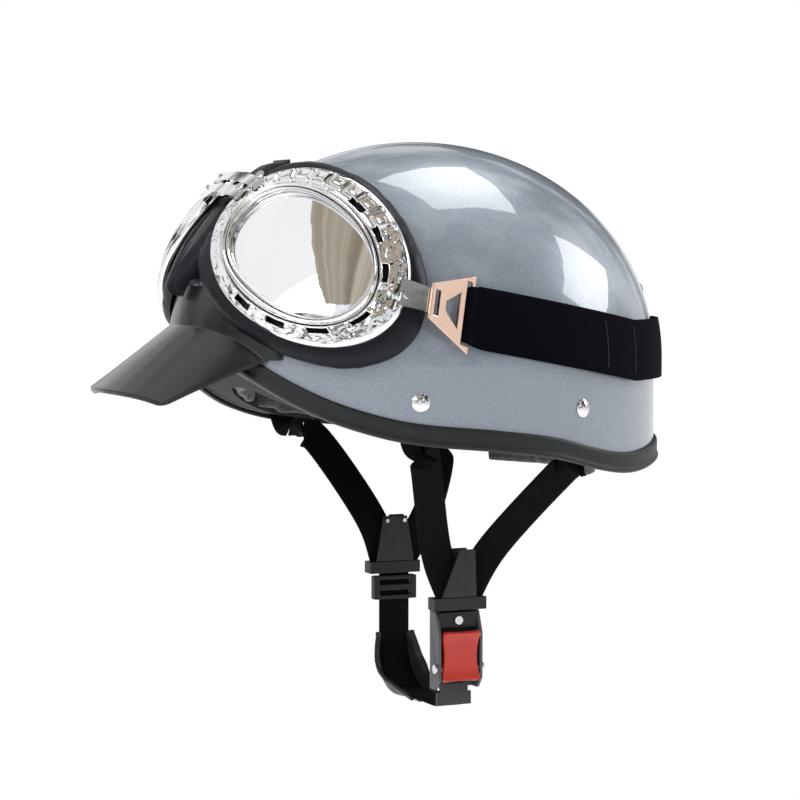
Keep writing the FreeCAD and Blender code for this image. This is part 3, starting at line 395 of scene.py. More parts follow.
def make_weave():
    """Woven yarns along a strap, from the strap's own run in millimetres: their height, and a painted shade
    that is light on the yarn crowns and dark between them.
    """
    group, given, out = effect("Weave", [("Pitch", "NodeSocketFloat", 0.8)],
                               [("Height", "NodeSocketFloat"), ("Painted Crown Shade", "NodeSocketFloat")])
    run = node(group, "ShaderNodeAttribute", attribute_name="run")
    split = node(group, "ShaderNodeSeparateXYZ", {0: run.outputs["Vector"]})
    turn = maths(group, "DIVIDE", 2 * math.pi, given.outputs["Pitch"])
    along = maths(group, "SINE", maths(group, "MULTIPLY", split.outputs["X"], turn))
    across = maths(group, "SINE", maths(group, "MULTIPLY", split.outputs["Y"], turn))
    twill = maths(group, "MULTIPLY", along, across)
    height = spread(group, twill, -1.0, 1.0)
    fuzz = node(group, "ShaderNodeTexNoise", {"Vector": run.outputs["Vector"], "Scale": 6.0, "Detail": 2.0})
    group.links.new(height, out.inputs["Height"])
    # painted shade: the weave's height, broken up by fuzz, sets how light each yarn crown is painted
    group.links.new(maths(group, "MULTIPLY", height, spread(group, fuzz.outputs["Fac"], 0.3, 0.7, 0.5, 1.0)),
                    out.inputs["Painted Crown Shade"])
    return group


EFFECTS = {}


def use_effect(tree, name, **values):
    made = tree.nodes.new("ShaderNodeGroup")
    made.node_tree = EFFECTS[name]
    for key, value in values.items():
        made.inputs[key].default_value = value
    return made


# ---- materials ---------------------------------------------------------------------------------
MATERIALS = {}


def new_material(name, **values):
    """A material with one Principled shader; uniform values go straight on its sockets."""
    material = bpy.data.materials.new(name)
    material.use_nodes = True
    tree = material.node_tree
    shader = tree.nodes["Principled BSDF"]
    for key, value in values.items():
        shader.inputs[key.replace("_", " ")].default_value = value
    MATERIALS[name] = material
    return tree, shader


def bump_in(tree, shader, height, distance, strength=1.0, after=None):
    """Feed a height to the shader's normal. distance is in millimetres."""
    made = node(tree, "ShaderNodeBump", {"Height": height, "Distance": distance * MM, "Strength": strength})
    if after is not None:
        tree.links.new(after, made.inputs["Normal"])
    tree.links.new(made.outputs["Normal"], shader.inputs["Normal"])
    return made.outputs["Normal"]


def rgba(colour, gain=1.0):
    return (colour[0] * gain, colour[1] * gain, colour[2] * gain, 1.0)


def make_shell_lacquer(colours):
    """Clear-coated slate paint with fine metal flakes."""
    tree, shader = new_material("shell_lacquer", Metallic=0.25, Coat_Weight=1.0, Coat_Roughness=0.02,
                                Coat_IOR=1.55)
    place = node(tree, "ShaderNodeTexCoord").outputs["Object"]
    flakes = node(tree, "ShaderNodeTexVoronoi", {"Vector": place, "Scale": 2600.0})
    glint = node(tree, "ShaderNodeSeparateColor", {0: flakes.outputs["Color"]}).outputs[0]
    cloud = node(tree, "ShaderNodeTexNoise", {"Vector": place, "Scale": 9.0, "Detail": 3.0}).outputs["Fac"]
    base = blend_colours(tree, spread(tree, cloud, 0.3, 0.7), rgba(colours.shell, 0.95),
                         rgba(colours.shell, 1.04))
    bright = blend_colours(tree, spread(tree, glint, 0.72, 1.0, 0.0, 0.5), base, rgba(colours.shell, 1.9))
    tree.links.new(bright, shader.inputs["Base Color"])
    wear = use_effect(tree, "Handling and Painted Reflection", Roughness=0.4, Drift=0.08)
    tree.links.new(wear.outputs["Roughness"], shader.inputs["Roughness"])
    bump_in(tree, shader, glint, 0.004)


def make_moulded(name, colour, roughness, grain_scale, grain_depth, wear=0.4, **values):
    """Moulded plastic or rubber: fine grain, handling marks and paler edges."""
    tree, shader = new_material(name, **values)
    marks = use_effect(tree, "Handling and Painted Reflection", Roughness=roughness, Drift=0.14)
    tree.links.new(marks.outputs["Roughness"], shader.inputs["Roughness"])
    worn = use_effect(tree, "Edge Wear", Amount=wear)
    dusty = blend_colours(tree, marks.outputs["Mask"], rgba(colour), rgba(colour, 1.25))
    edged = blend_colours(tree, worn.outputs["Mask"], dusty, rgba(colour, 2.4))
    tree.links.new(edged, shader.inputs["Base Color"])
    grain = use_effect(tree, "Grain", Scale=grain_scale)
    bump_in(tree, shader, grain.outputs["Height"], grain_depth)


def make_leather(name, colour, roughness, grain_scale, grain_depth, **values):
    """Soft leather: pebbled grain, creases and a faint sheen on the high spots."""
    tree, shader = new_material(name, **values)
    place = node(tree, "ShaderNodeTexCoord").outputs["Object"]
    grain = use_effect(tree, "Grain", Scale=grain_scale)
    marks = use_effect(tree, "Handling and Painted Reflection", Roughness=roughness, Drift=0.12)
    crease = node(tree, "ShaderNodeTexNoise",
                  {"Vector": place, "Scale": 55.0, "Detail": 4.0, "Distortion": 0.6})
    total = maths(tree, "ADD", maths(tree, "MULTIPLY", grain.outputs["Height"], 0.5), crease.outputs["Fac"])
    tone = blend_colours(tree, marks.outputs["Mask"], rgba(colour), rgba(colour, 1.5))
    tree.links.new(tone, shader.inputs["Base Color"])
    tree.links.new(marks.outputs["Roughness"], shader.inputs["Roughness"])
    bump_in(tree, shader, total, grain_depth)


def make_woven(name, colour, pitch, depth, **values):
    """Woven strap: yarns as a height, with painted shade: paler crowns and darker hollows between the yarns.
    """
    tree, shader = new_material(name, Roughness=0.85, **values)
    weave = use_effect(tree, "Weave", Pitch=pitch)
    # painted shade: 0.6 of the strap colour in the weave's hollows, 1.7 on its crowns
    tone = blend_colours(tree, weave.outputs["Painted Crown Shade"], rgba(colour, 0.6), rgba(colour, 1.7))
    tree.links.new(tone, shader.inputs["Base Color"])
    bump_in(tree, shader, weave.outputs["Height"], depth)


def make_chrome(name, colour, roughness, ripple_scale, ripple_depth):
    """Plated metal: slight ripple, fine wipe marks, and darker patches painted in as a reflection of dark
    surroundings.
    """
    tree, shader = new_material(name, Metallic=1.0)
    place = node(tree, "ShaderNodeTexCoord").outputs["Object"]
    ripple = node(tree, "ShaderNodeTexNoise", {"Vector": place, "Scale": ripple_scale, "Detail": 2.0})
    marks = use_effect(tree, "Handling and Painted Reflection", Roughness=roughness, Drift=0.06)
    # painted reflection: patches of the plating darkened to 0.86, standing in for dark surroundings mirrored
    # in the metal
    tone = blend_colours(tree, marks.outputs["Mask"], rgba(colour), rgba(colour, 0.86))
    tree.links.new(tone, shader.inputs["Base Color"])
    tree.links.new(marks.outputs["Roughness"], shader.inputs["Roughness"])
    bump_in(tree, shader, ripple.outputs["Fac"], ripple_depth)


def make_cloth(name, colour, scale, depth):
    """Brushed mesh: small holes in rows over a fuzzy ground, the holes painted dark as shade inside them."""
    tree, shader = new_material(name, Roughness=0.95, Sheen_Weight=0.35, Sheen_Roughness=0.5)
    place = node(tree, "ShaderNodeTexCoord").outputs["Object"]
    holes = node(tree, "ShaderNodeTexVoronoi", {"Vector": place, "Scale": scale, "Randomness": 0.25})
    pit = spread(tree, holes.outputs["Distance"], 0.18, 0.42)
    fuzz = node(tree, "ShaderNodeTexNoise", {"Vector": place, "Scale": scale * 2.2, "Detail": 3.0})
    height = maths(tree, "ADD", pit, maths(tree, "MULTIPLY", fuzz.outputs["Fac"], 0.5))
    # painted shade: the holes at 0.3 of the cloth colour, the ground between them at 1.3
    tone = blend_colours(tree, pit, rgba(colour, 0.3), rgba(colour, 1.3))
    tree.links.new(tone, shader.inputs["Base Color"])
    bump_in(tree, shader, height, depth)


def make_foam_skin(name, colour):
    """Expanded foam: packed beads, with painted shade: dark between the beads and light on their crowns."""
    tree, shader = new_material(name, Roughness=0.9)
    place = node(tree, "ShaderNodeTexCoord").outputs["Object"]
    beads = node(tree, "ShaderNodeTexVoronoi", {"Vector": place, "Scale": 330.0})
    crown = spread(tree, beads.outputs["Distance"], 0.0, 0.6, 1.0, 0.0)
    # painted shade: 0.5 of the foam colour between the beads, 1.4 on their crowns
    tone = blend_colours(tree, crown, rgba(colour, 0.5), rgba(colour, 1.4))
    tree.links.new(tone, shader.inputs["Base Color"])
    bump_in(tree, shader, crown, 0.25)


def make_mirror_lens(colour):
    """Mirror-coated lens with a trace of haze."""
    tree, shader = new_material("lens_coating", Metallic=1.0)
    place = node(tree, "ShaderNodeTexCoord").outputs["Object"]
    haze = node(tree, "ShaderNodeTexNoise", {"Vector": place, "Scale": 30.0, "Detail": 3.0}).outputs["Fac"]
    tree.links.new(spread(tree, haze, 0.3, 0.7, 0.015, 0.04), shader.inputs["Roughness"])
    tree.links.new(blend_colours(tree, haze, rgba(colour), rgba(colour, 0.93)), shader.inputs["Base Color"])


def make_materials(colours):
    EFFECTS.update({"Grain": make_grain(), "Edge Wear": make_edge_wear(), "Handling and Painted Reflection": make_dust_and_painted_reflection(),
                    "Weave": make_weave()})
    make_shell_lacquer(colours)
    make_mirror_lens((0.9, 0.91, 0.92))
    make_foam_skin("foam_skin", (0.03, 0.03, 0.032))
    make_foam_skin("vent_foam", (0.008, 0.008, 0.008))
    make_cloth("lining_cloth", (0.028, 0.028, 0.03), 520.0, 0.35)
    make_moulded("trim_rubber", (0.011, 0.0115, 0.012), 0.5, 1500.0, 0.03, 0.25, Coat_Weight=0.06,
                 Coat_Roughness=0.25, Specular_IOR_Level=0.3)
    make_moulded("peak_plastic", (0.009, 0.0095, 0.0105), 0.3, 2200.0, 0.012, 0.3, Coat_Weight=0.3,
                 Coat_Roughness=0.12, Specular_IOR_Level=0.35)
    make_moulded("black_hardware", (0.02, 0.02, 0.02), 0.35, 1800.0, 0.01)
    make_moulded("harness_plastic", (0.01, 0.01, 0.01), 0.48, 1700.0, 0.03, Specular_IOR_Level=0.35)
    make_moulded("divider_plate", (0.016, 0.016, 0.0155), 0.5, 1500.0, 0.03, Specular_IOR_Level=0.35)
    make_moulded("buckle_grey", (0.05, 0.054, 0.058), 0.42, 1500.0, 0.03)
    make_moulded("tongue_plastic", (0.02, 0.02, 0.02), 0.5, 1700.0, 0.03)
    make_moulded("lever_red", colours.lever, 0.38, 1300.0, 0.02, 0.15, Coat_Weight=0.15, Coat_Roughness=0.3)
    make_leather("pad_leather", colours.leather, 0.44, 900.0, 0.12, Specular_IOR_Level=0.25)
    make_leather("keeper_leather", (0.011, 0.011, 0.012), 0.5, 800.0, 0.2, Specular_IOR_Level=0.35)
    make_leather("chin_leather", (0.013, 0.0135, 0.015), 0.42, 850.0, 0.15, Specular_IOR_Level=0.35)
    make_woven("elastic_weave", (0.0013, 0.0012, 0.004), 0.9, 0.12, Specular_IOR_Level=0.05)
    make_woven("webbing_weave", (0.0045, 0.0045, 0.0045), 1.1, 0.3, Specular_IOR_Level=0.08)
    make_woven("thread", (0.03, 0.03, 0.03), 0.5, 0.1)
    make_chrome("rivet_chrome", (0.82, 0.82, 0.82), 0.1, 60.0, 0.02)
    make_chrome("goggle_chrome", (0.86, 0.86, 0.86), 0.05, 140.0, 0.12)
    make_chrome("ring_chrome", (0.88, 0.88, 0.88), 0.05, 60.0, 0.05)
    make_chrome("hook_gold", colours.gold, 0.16, 90.0, 0.03)
    make_chrome("pin_steel", (0.75, 0.75, 0.75), 0.25, 80.0, 0.02)
    make_chrome("spring_steel", (0.5, 0.5, 0.5), 0.3, 80.0, 0.02)


# ---- helmet: trim, hardware, linings -----------------------------------------------------------------
TRIM_PROFILE = ((0.1, 11.6), (0.9, 11.6), (1.7, 11.1), (2.1, 10.1), (2.2, 8.6), (2.1, 6.4), (2.05, 4.4),
                (2.15, 3.2), (2.6, 2.4), (2.85, 1.5), (2.6, 0.6), (1.8, 0.0), (0.2, -0.1), (-1.8, -0.1),
                (-3.3, 0.1), (-3.6, 0.7), (-3.6, 1.8), (-3.2, 2.4), (0.05, 2.5), (0.05, 6.0))


def make_trim():
    """Rubber channel pushed on the shell's edge, with a rounded bead along the bottom."""
    steps = 360
    grid = []
    for i in range(steps):
        angle = 2 * math.pi * i / steps
        row = []
        for off, lift in TRIM_PROFILE:
            z = lift
            for _ in range(12):
                p = round_point(off, angle, z)
                z = smooth_line(EDGE_LINE, p.y) + lift
            row.append(round_point(off, angle, z))
        grid.append(row)
    return grid_piece("edge_trim_rubber", grid, close_rows=True, close_columns=True)


def cloth_pad(node_name, name, voxel, pressure, cap, shrink=0.0):
    """A CAD soft solid as a sewn pad: remeshed, blown up as cloth and held within cap of where it was."""
    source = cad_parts[node_name]
    piece = bpy.data.objects.new(name, source.data.copy())
    bpy.context.scene.collection.objects.link(piece)
    add_modifier(piece, "REMESH", mode="VOXEL", voxel_size=voxel * MM)
    bake_modifiers(piece)
    mesh = piece.data
    normals = [v.normal.copy() for v in mesh.vertices]
    for vertex, normal in zip(mesh.vertices, normals):
        vertex.co -= normal * shrink * MM
    start = [v.co.copy() for v in mesh.vertices]
    blow_up(piece, pressure)
    for vertex, old in zip(piece.data.vertices, start):
        move = vertex.co - old
        if move.length > cap * MM:
            vertex.co = old + move * (cap * MM / move.length)
    return piece


def blow_up(piece, pressure):
    """Twenty frames of pressurised cloth without gravity, kept as the mesh."""
    cloth = add_modifier(piece, "CLOTH")
    settings = cloth.settings
    settings.quality = 4
    settings.mass = 0.3
    settings.tension_stiffness = 25
    settings.compression_stiffness = 25
    settings.bending_stiffness = 2
    settings.use_pressure = True
    settings.uniform_pressure_force = pressure
    settings.effector_weights.gravity = 0
    cloth.collision_settings.use_collision = False
    scene = bpy.context.scene
    for number in range(1, 21):
        scene.frame_set(number)
    bake_modifiers(piece)
    scene.frame_set(1)


def subdivide(piece, levels=1):
    add_modifier(piece, "SUBSURF", levels=levels, render_levels=levels)
    bake_modifiers(piece)
    for polygon in piece.data.polygons:
        polygon.use_smooth = True


def off_of(p):
    """How far a millimetre point lies outside the shell's form, measured from its axis."""
    rise = max(p.z - WIDEST_Z, 0.0) / CROWN_RISE
    r = math.sqrt((p.x / HALF_WIDTH) ** 2 + (p.y / HALF_LENGTH) ** 2 + rise * rise)
    n = surface_normal(p)
    reach = math.sqrt((n.x * HALF_WIDTH) ** 2 + (n.y * HALF_LENGTH) ** 2 + (n.z * CROWN_RISE) ** 2)
    return (r - 1.0) * reach, n


def hold_inside(piece, limits, gap):
    """Push points back that have gone outside a dome of given half width, half length and rise."""
    hx, hy, rise = (value - gap for value in limits)
    centre = V((0, 0, WIDEST_Z))
    for vertex in piece.data.vertices:
        p = vertex.co / MM
        lift = max(p.z - WIDEST_Z, 0.0) / rise
        r = math.sqrt((p.x / hx) ** 2 + (p.y / hy) ** 2 + lift * lift)
        if r > 1.0:
            if lift > 0:
                p = centre + (p - centre) / r
            else:
                p = V((p.x / r, p.y / r, p.z))
            vertex.co = p * MM


FOAM_INNER = (85.0, 108.0, 95.0)
LINING_NAMES = ("lining_brow", "lining_left", "lining_right", "lining_nape", "lining_crown")
QUILT_PITCH = 26.0


def make_linings():
    """Five comfort pads, blown up as cloth, then quilted along upright seams."""
    pads = []
    for name in LINING_NAMES:
        pad = cloth_pad(name, name + "_pad", 4.5, 4.0, 5.0, 0.6)
        subdivide(pad)
        hold_inside(pad, FOAM_INNER, 0.4)
        for vertex in pad.data.vertices:
            p = vertex.co / MM
            bow = math.atan2(p.y, p.x) * 95.0 / QUILT_PITCH
            seam = math.exp(-((bow - round(bow)) * QUILT_PITCH / 1.6) ** 2)
            inward = V((-p.x, -p.y, 0)).normalized()
            facing = max(vertex.normal.dot(inward), 0.0)
            vertex.co = (p - inward * 1.4 * seam * facing) * MM
        pads.append(pad)
    return pads


# ---- goggles ----------------------------------------------------------------------------------
def cup_axes():
    """(outward normal, long axis, short axis) of one eye cup's layout plane."""
    yaw, pitch, roll = (math.radians(a) for a in (CUP_YAW, CUP_PITCH, CUP_ROLL))
    n = V((math.sin(yaw) * math.cos(pitch), -math.cos(yaw) * math.cos(pitch), math.sin(pitch)))
    level = V((math.cos(yaw), math.sin(yaw), 0))
    up = level.cross(n)
    if up.z < 0:
        up = -up
    return n, level * math.cos(roll) + up * math.sin(roll), up * math.cos(roll) - level * math.sin(roll)


CUP_N, CUP_LONG, CUP_SHORT = cup_axes()


def outline_spot(angle, outline, grow=0.0, square=2.0):
    """Point of an outline on the layout plane. square above 2 makes the ellipse boxier."""
    along, across, half_a, half_b = outline
    a = math.radians(angle)
    c, s = math.cos(a), math.sin(a)
    r = (abs(c) ** square + abs(s) ** square) ** (-1.0 / square)
    flat = CUP_CENTRE + CUP_LONG * (along + (half_a + grow) * c * r)
    return flat + CUP_SHORT * (across + (half_b + grow) * s * r)


def cup_spot(angle, share, inner, outer, off):
    """Point on the shell grown by off, at a share of the way between two (outline, grow, square)."""
    a, b = outline_spot(angle, *inner), outline_spot(angle, *outer)
    return drop_on(a.lerp(b, share), CUP_N, off)


def cut_at_nose(piece, x):
    """Keep only what lies outward of the nose gap."""
    mesh = bmesh.new()
    mesh.from_mesh(piece.data)
    geometry = list(mesh.verts) + list(mesh.edges) + list(mesh.faces)
    bmesh.ops.bisect_plane(mesh, geom=geometry, plane_co=(x * MM, 0, 0), plane_no=(1, 0, 0),
                           clear_inner=True, dist=1e-6)
    mesh.to_mesh(piece.data)
    mesh.free()


BLOCK_FROM, BLOCK_TO, BLOCK_COUNT = 62, 158, 8
HAMMER_DEPTH = 0.75


def emboss(angle, share, p):
    """Height of the pressed pattern: square blocks along the top, hammered facets elsewhere."""
    edge = step_up(0.05, 0.2, share) * (1 - step_up(0.82, 0.97, share))
    hammer = noise.noise(p * 0.16) * HAMMER_DEPTH + abs(noise.noise(p * 0.33)) * HAMMER_DEPTH * 0.9
    place = (angle - BLOCK_FROM) / (BLOCK_TO - BLOCK_FROM) * BLOCK_COUNT
    inside = step_up(-0.3, 0.0, place) * (1 - step_up(BLOCK_COUNT, BLOCK_COUNT + 0.3, place))
    cell = place - math.floor(place)
    rim = min(cell, 1 - cell)
    block = step_up(0.07, 0.17, rim) * step_up(0.3, 0.4, share) * (1 - step_up(0.86, 0.93, share))
    dimple = step_up(0.24, 0.34, rim) * step_up(0.48, 0.56, share) * (1 - step_up(0.7, 0.8, share))
    tilt = (cell - 0.5) * 0.9 * (1 if math.floor(place) % 2 else -1)
    blocks = -1.3 + block * (1.5 + tilt) - dimple * 0.5
    return edge * (hammer * (1 - inside) + blocks * inside)


def make_housing():
    """Chromed housing of the left cup: a pressed ring with vent slots, folded down at both edges."""
    inner, outer = (BEZEL, 0.2, 2.0), (HOUSING, 0.0, 2.0)
    shares = [0.0, 0.0, 0.02, 0.06] + [0.06 + 0.88 * i / 22 for i in range(1, 22)] + [0.94, 0.98, 1.0, 1.0]
    tops = [13.6, 16.4, 17.3, 17.7] + [18.0] * 21 + [17.7, 17.2, 16.2, 13.3]
    grid, skip = [], set()
    for angle in range(360):
        wrapped = (angle - BLOCK_FROM + 40) % 360 + BLOCK_FROM - 40
        row = []
        for share, top in zip(shares, tops):
            p = cup_spot(angle, share, inner, outer, top)
            lift = emboss(wrapped, share, p)
            row.append(cup_spot(angle, share, inner, outer, top + lift))
        grid.append(row)
    for vent in VENT_ANGLES:
        here = outline_spot(vent, BEZEL, 3.0)
        degree = (outline_spot(vent + 1, BEZEL, 3.0) - here).length
        half = round(VENT_LENGTH / 2 / degree)
        width = (outline_spot(vent, HOUSING) - outline_spot(vent, BEZEL)).length
        for j in range(3, len(shares) - 4):
            if 1.6 < shares[j] * width and shares[j + 1] * width < 5.2:
                skip.update(((vent + k) % 360, j) for k in range(-half, half))
    piece = grid_piece("goggle_housing_chrome_left", grid, close_rows=True, skip=skip)
    cut_at_nose(piece, CUP_SPLIT_X)
    add_modifier(piece, "SOLIDIFY", thickness=1.1 * MM, offset=-1.0)
    bake_modifiers(piece)
    return piece


def roll(middle, half, base, height, steps=9):
    """(share, height) points over one rounded roll."""
    points = []
    for i in range(steps + 1):
        a = math.radians(-90 + 180 * i / steps)
        points.append((middle + half * math.sin(a), base + height * math.cos(a)))
    return points


def make_bezel():
    """Two polished rolls round the lens."""
    profile = [(0.0, 15.7)] + roll(0.22, 0.22, 16.4, 3.0) + roll(0.72, 0.28, 16.8, 3.9) + [(1.0, 15.7)]
    inner, outer = (OPENING, 0.0, 2.3), (BEZEL, -0.1, 2.0)
    grid = []
    for i in range(240):
        angle = 1.5 * i
        grid.append([cup_spot(angle, share, inner, outer, off) for share, off in profile])
    piece = grid_piece("lens_ring_left", grid, close_rows=True, close_columns=True)
    cut_at_nose(piece, CUP_SPLIT_X)
    return piece


def hold_off(piece, low, high):
    """Keep a piece between two heights over the shell, and over the peak's band where that is."""
    for vertex in piece.data.vertices:
        p = vertex.co / MM
        off, n = off_of(p)
        floor = 5.8 if abs(p.x) < 77 and 28 < p.z < 89 and p.y < 0 else low
        want = min(max(off, floor), high(p))
        if abs(want - off) > 1e-4:
            vertex.co = (p + n * (want - off)) * MM


def under_housing(p):
    """Most height that a face pad may have: less under the housing, more outside it."""
    flat = p - CUP_CENTRE
    along, across, half_a, half_b = HOUSING
    a, b = (flat.dot(CUP_LONG) - along) / (half_a + 1.0), (flat.dot(CUP_SHORT) - across) / (half_b + 1.0)
    return 12.6 + 2.2 * step_up(1.0, 1.12, math.sqrt(a * a + b * b))


def make_face_pad():
    """Rolled leather pad behind the left cup."""
    inner, outer = (OPENING, 2.5, 2.2), (PAD, -0.6, 2.0)
    section = [(0.0, 2.4), (0.0, 6.5), (0.02, 10.6), (0.08, 11.8), (0.25, 11.9), (0.45, 11.9), (0.62, 11.9)]
    for i in range(13):
        a = math.radians(80 - 160 * i / 12)
        section.append((0.76 + 0.24 * math.cos(a), 6.6 + 5.3 * math.sin(a)))
    section += [(0.62, 1.3), (0.4, 1.2), (0.2, 1.2), (0.06, 1.3)]
    grid = []
    for i in range(180):
        angle = 2.0 * i
        grid.append([cup_spot(angle, share, inner, outer, off) for share, off in section])
    piece = grid_piece("face_pad_leather_left", grid, close_rows=True, close_columns=True)
    cut_at_nose(piece, PAD_SPLIT_X)
    fill_ends(piece)
    start = [v.co.copy() for v in piece.data.vertices]
    blow_up(piece, 4.0)
    cap = 2.4 * MM
    for vertex, old in zip(piece.data.vertices, start):
        move = vertex.co - old
        if move.length > cap:
            vertex.co = old + move * (cap / move.length)
    subdivide(piece)
    for vertex in piece.data.vertices:
        p = vertex.co / MM
        wrinkle = noise.noise(V((p.x * 0.05, p.y * 0.05, p.z * 0.05))) * 0.8 + noise.noise(p * 0.14) * 0.3
        vertex.co = (p + vertex.normal * wrinkle) * MM
    hold_off(piece, 0.8, under_housing)
    return piece


def fill_ends(piece):
    """Close open borders with flat faces."""
    mesh = bmesh.new()
    mesh.from_mesh(piece.data)
    borders = [edge for edge in mesh.edges if edge.is_boundary]
    bmesh.ops.holes_fill(mesh, edges=borders, sides=0)
    bmesh.ops.triangulate(mesh, faces=[face for face in mesh.faces if len(face.verts) > 6])
    mesh.to_mesh(piece.data)
    mesh.free()
    face_outward(piece)


NOSE_TOP_Z, NOSE_LOW_Z = 156.0, 80.0
NOSE_BACK_Y = -82.0


def make_nose_pad():
    """Padded middle piece: smooth over the brow, gathered into pleats that end in a soft point."""
    rows, columns = 90, 40
    front, back = [], []
    for i in range(rows + 1):
        t = i / rows
        z = NOSE_TOP_Z + (NOSE_LOW_Z - NOSE_TOP_Z) * t
        gather = step_up(0.5, 1.0, t)
        half = 13.6 - 8.5 * gather * gather
        front_row, back_row = [], []
        for j in range(columns + 1):
            u = -1 + 2 * j / columns
            edge = math.sqrt(max(1 - abs(u) ** 4, 0.0))
            pleat = math.sin(u * 7.5 + 1.1 * math.sin(t * 9.0)) * 1.9 * gather
            crease = noise.noise(V((u * 2.0, t * 7.0, 3.0))) * 1.4 * (0.25 + gather)
            thinner = 1 - 0.35 * step_up(0.9, 1.0, t)
            high = 3.0 + (9.2 + 1.2 * gather) * edge * thinner + pleat * edge + crease
            end = step_up(0.0, 0.03, t) * (1 - step_up(0.97, 1.0, t))
            high = 6.2 + (high - 6.2) * end
            x = half * u
            front_row.append(nose_spot(x, z, max(high, 6.0)))
            back_row.append(nose_spot(x, z, 5.9 if z < 90 else 2.0))
        front.append(front_row)
        back.append(back_row)
    grid = [f + list(reversed(b)) for f, b in zip(front, back)]
    piece = grid_piece("nose_pad_leather", grid, close_columns=True)
    fill_ends(piece)
    subdivide(piece)
    return piece


def nose_spot(x, z, off):
    """Point over the front of the shell at a given x and z."""
    rise = max(z - WIDEST_Z, 0.0) / (CROWN_RISE + off)
    share = max(1.0 - rise * rise - (x / (HALF_WIDTH + off)) ** 2, 0.0)
    return V((x, min(-(HALF_LENGTH + off) * math.sqrt(share), NOSE_BACK_Y), z))


# ---- elastic -----------------------------------------------------------------------------------
HOOK_FRONT, HOOK_FRONT_OFF = (-45.5, 79.5), 18.7
HOOK_MIDDLE = (-32.0, 75.5)
HOOK_REAR, HOOK_REAR_OFF = (-17.5, 71.0), 2.6
LOOP_END_Y = -11.5


def elastic_mid(y):
    return ELASTIC_MID_Z - ELASTIC_SLOPE * min(y, ELASTIC_FLAT_Y)


def band_point(off, angle, width_at, side):
    """Point of the elastic at a plan angle, width_at from its middle line."""
    y = (HALF_LENGTH + off) * math.sin(angle)
    for _ in range(6):
        z = elastic_mid(y) + width_at
        y = round_point(off, angle, z).y
    p = round_point(off, angle, elastic_mid(y) + width_at)
    return V((p.x * side, p.y, p.z))


def side_angle(off, y, z):
    """Plan angle of the left side's point at y and z."""
    p = surface_point(off, y, z)
    return math.atan2(p.y / (HALF_LENGTH + off), p.x / (HALF_WIDTH + off))


def hook_frame():
    """The hook plate's rear end: place, direction towards the rear, outward and width directions."""
    a = surface_point(HOOK_FRONT_OFF, *HOOK_FRONT)
    b = surface_point(HOOK_REAR_OFF, *HOOK_REAR)
    out = surface_normal(surface_point(0, *HOOK_MIDDLE))
    along = (b - a).normalized()
    side = out.cross(along).normalized()
    up = (out - along * along.dot(out)).normalized()
    if side.z < 0:
        side = -side
    return b, along, up, side


def elastic_rows(columns):
    """Middle surface of the elastic on the left: folded end, loop round the hook's bar, outer run."""
    b, along, up, side = hook_frame()
    rows = []
    for step in range(26):
        y = 95.0 - (95.0 - LOOP_END_Y) * step / 25
        angle = side_angle(2.0, y, elastic_mid(y))
        rows.append([band_point(2.0, angle, w * 0.83, 1) for w in columns])
    loop = ((1.6, -0.9), (-0.6, -1.1), (-2.6, -0.9), (-3.6, 0.0), (-3.9, 1.0), (-3.5, 2.1), (-2.2, 2.75),
            (-0.4, 2.7), (1.4, 2.1))
    mid = elastic_mid(HOOK_REAR[0]) - HOOK_REAR[1]
    for i, (s, h) in enumerate(loop):
        squeeze = 0.83 + 0.12 * i / (len(loop) - 1)
        rows.append([b + along * s + up * h + side * (mid + w * squeeze) for w in columns])
    for step in range(40):
        y = LOOP_END_Y + (128.0 - LOOP_END_Y) * step / 39
        angle = side_angle(3.9, y, elastic_mid(y))
        rows.append([band_point(3.9, angle, w, 1) for w in columns])
    return rows


def make_elastic():
    """One woven elastic round the back, each end folded through its hook and sewn under itself."""
    columns = [ELASTIC_HALF * (-1 + 2 * j / 16) for j in range(17)]
    left = elastic_rows(columns)
    start = side_angle(3.9, 128.0, elastic_mid(128.0))
    behind = []
    steps = 30
    for i in range(1, steps):
        angle = start + (math.pi - 2 * start) * i / steps
        behind.append([band_point(3.9, angle, w, 1) for w in columns])
    right = [[V((-p.x, p.y, p.z)) for p in row] for row in reversed(left)]
    grid = left + behind + right
    runs, along = [], 0.0
    for i, row in enumerate(grid):
        if i:
            along += (row[8] - grid[i - 1][8]).length
        runs += [(along, w) for w in columns]
    piece = grid_piece("elastic_band", grid, runs=runs)
    add_modifier(piece, "SOLIDIFY", thickness=1.35 * MM, offset=0.0)
    add_modifier(piece, "BEVEL", width=0.3 * MM, segments=2, limit_method="ANGLE",
                 angle_limit=math.radians(50))
    bake_modifiers(piece)
    piece.data.materials.append(MATERIALS["elastic_weave"])
    return joined("elastic_band", [piece] + sewn_box([(94.0, 0.83), (70.0, 0.83)], columns))


def sewn_box(ends, columns):
    """Threads on the outside where the folded ends are sewn down, on both sides."""
    pieces = []
    for side in (1, -1):
        for y, share in ends:
            for k in range(14):
                w = columns[0] * share + 2.0 + k * (2 * ELASTIC_HALF * share - 4.0) / 13
                angle = side_angle(4.7, y, elastic_mid(y))
                a = band_point(4.62, angle, w - 0.8, side)
                c = band_point(4.62, angle, w + 0.8, side)
                pieces.append(stitch(a, c, 0.3))
    for piece in pieces:
        piece.data.materials.append(MATERIALS["thread"])
    return pieces


def stitch(a, b, radius):
    """One short thread from a to b, rounded at its ends."""
    run = b - a
    z = run.normalized()
    x = z.orthogonal().normalized()
    y = z.cross(x)
    grid = []
    for t, r in ((0.0, 0.35), (0.12, 0.8), (0.35, 1.0), (0.65, 1.0), (0.88, 0.8), (1.0, 0.35)):
        centre = a + run * t
        grid.append([centre + (x * math.cos(q) + y * math.sin(q)) * radius * r
                     for q in (2 * math.pi * k / 6 for k in range(6))])
    return grid_piece("stitch", grid, close_columns=True, caps=True)


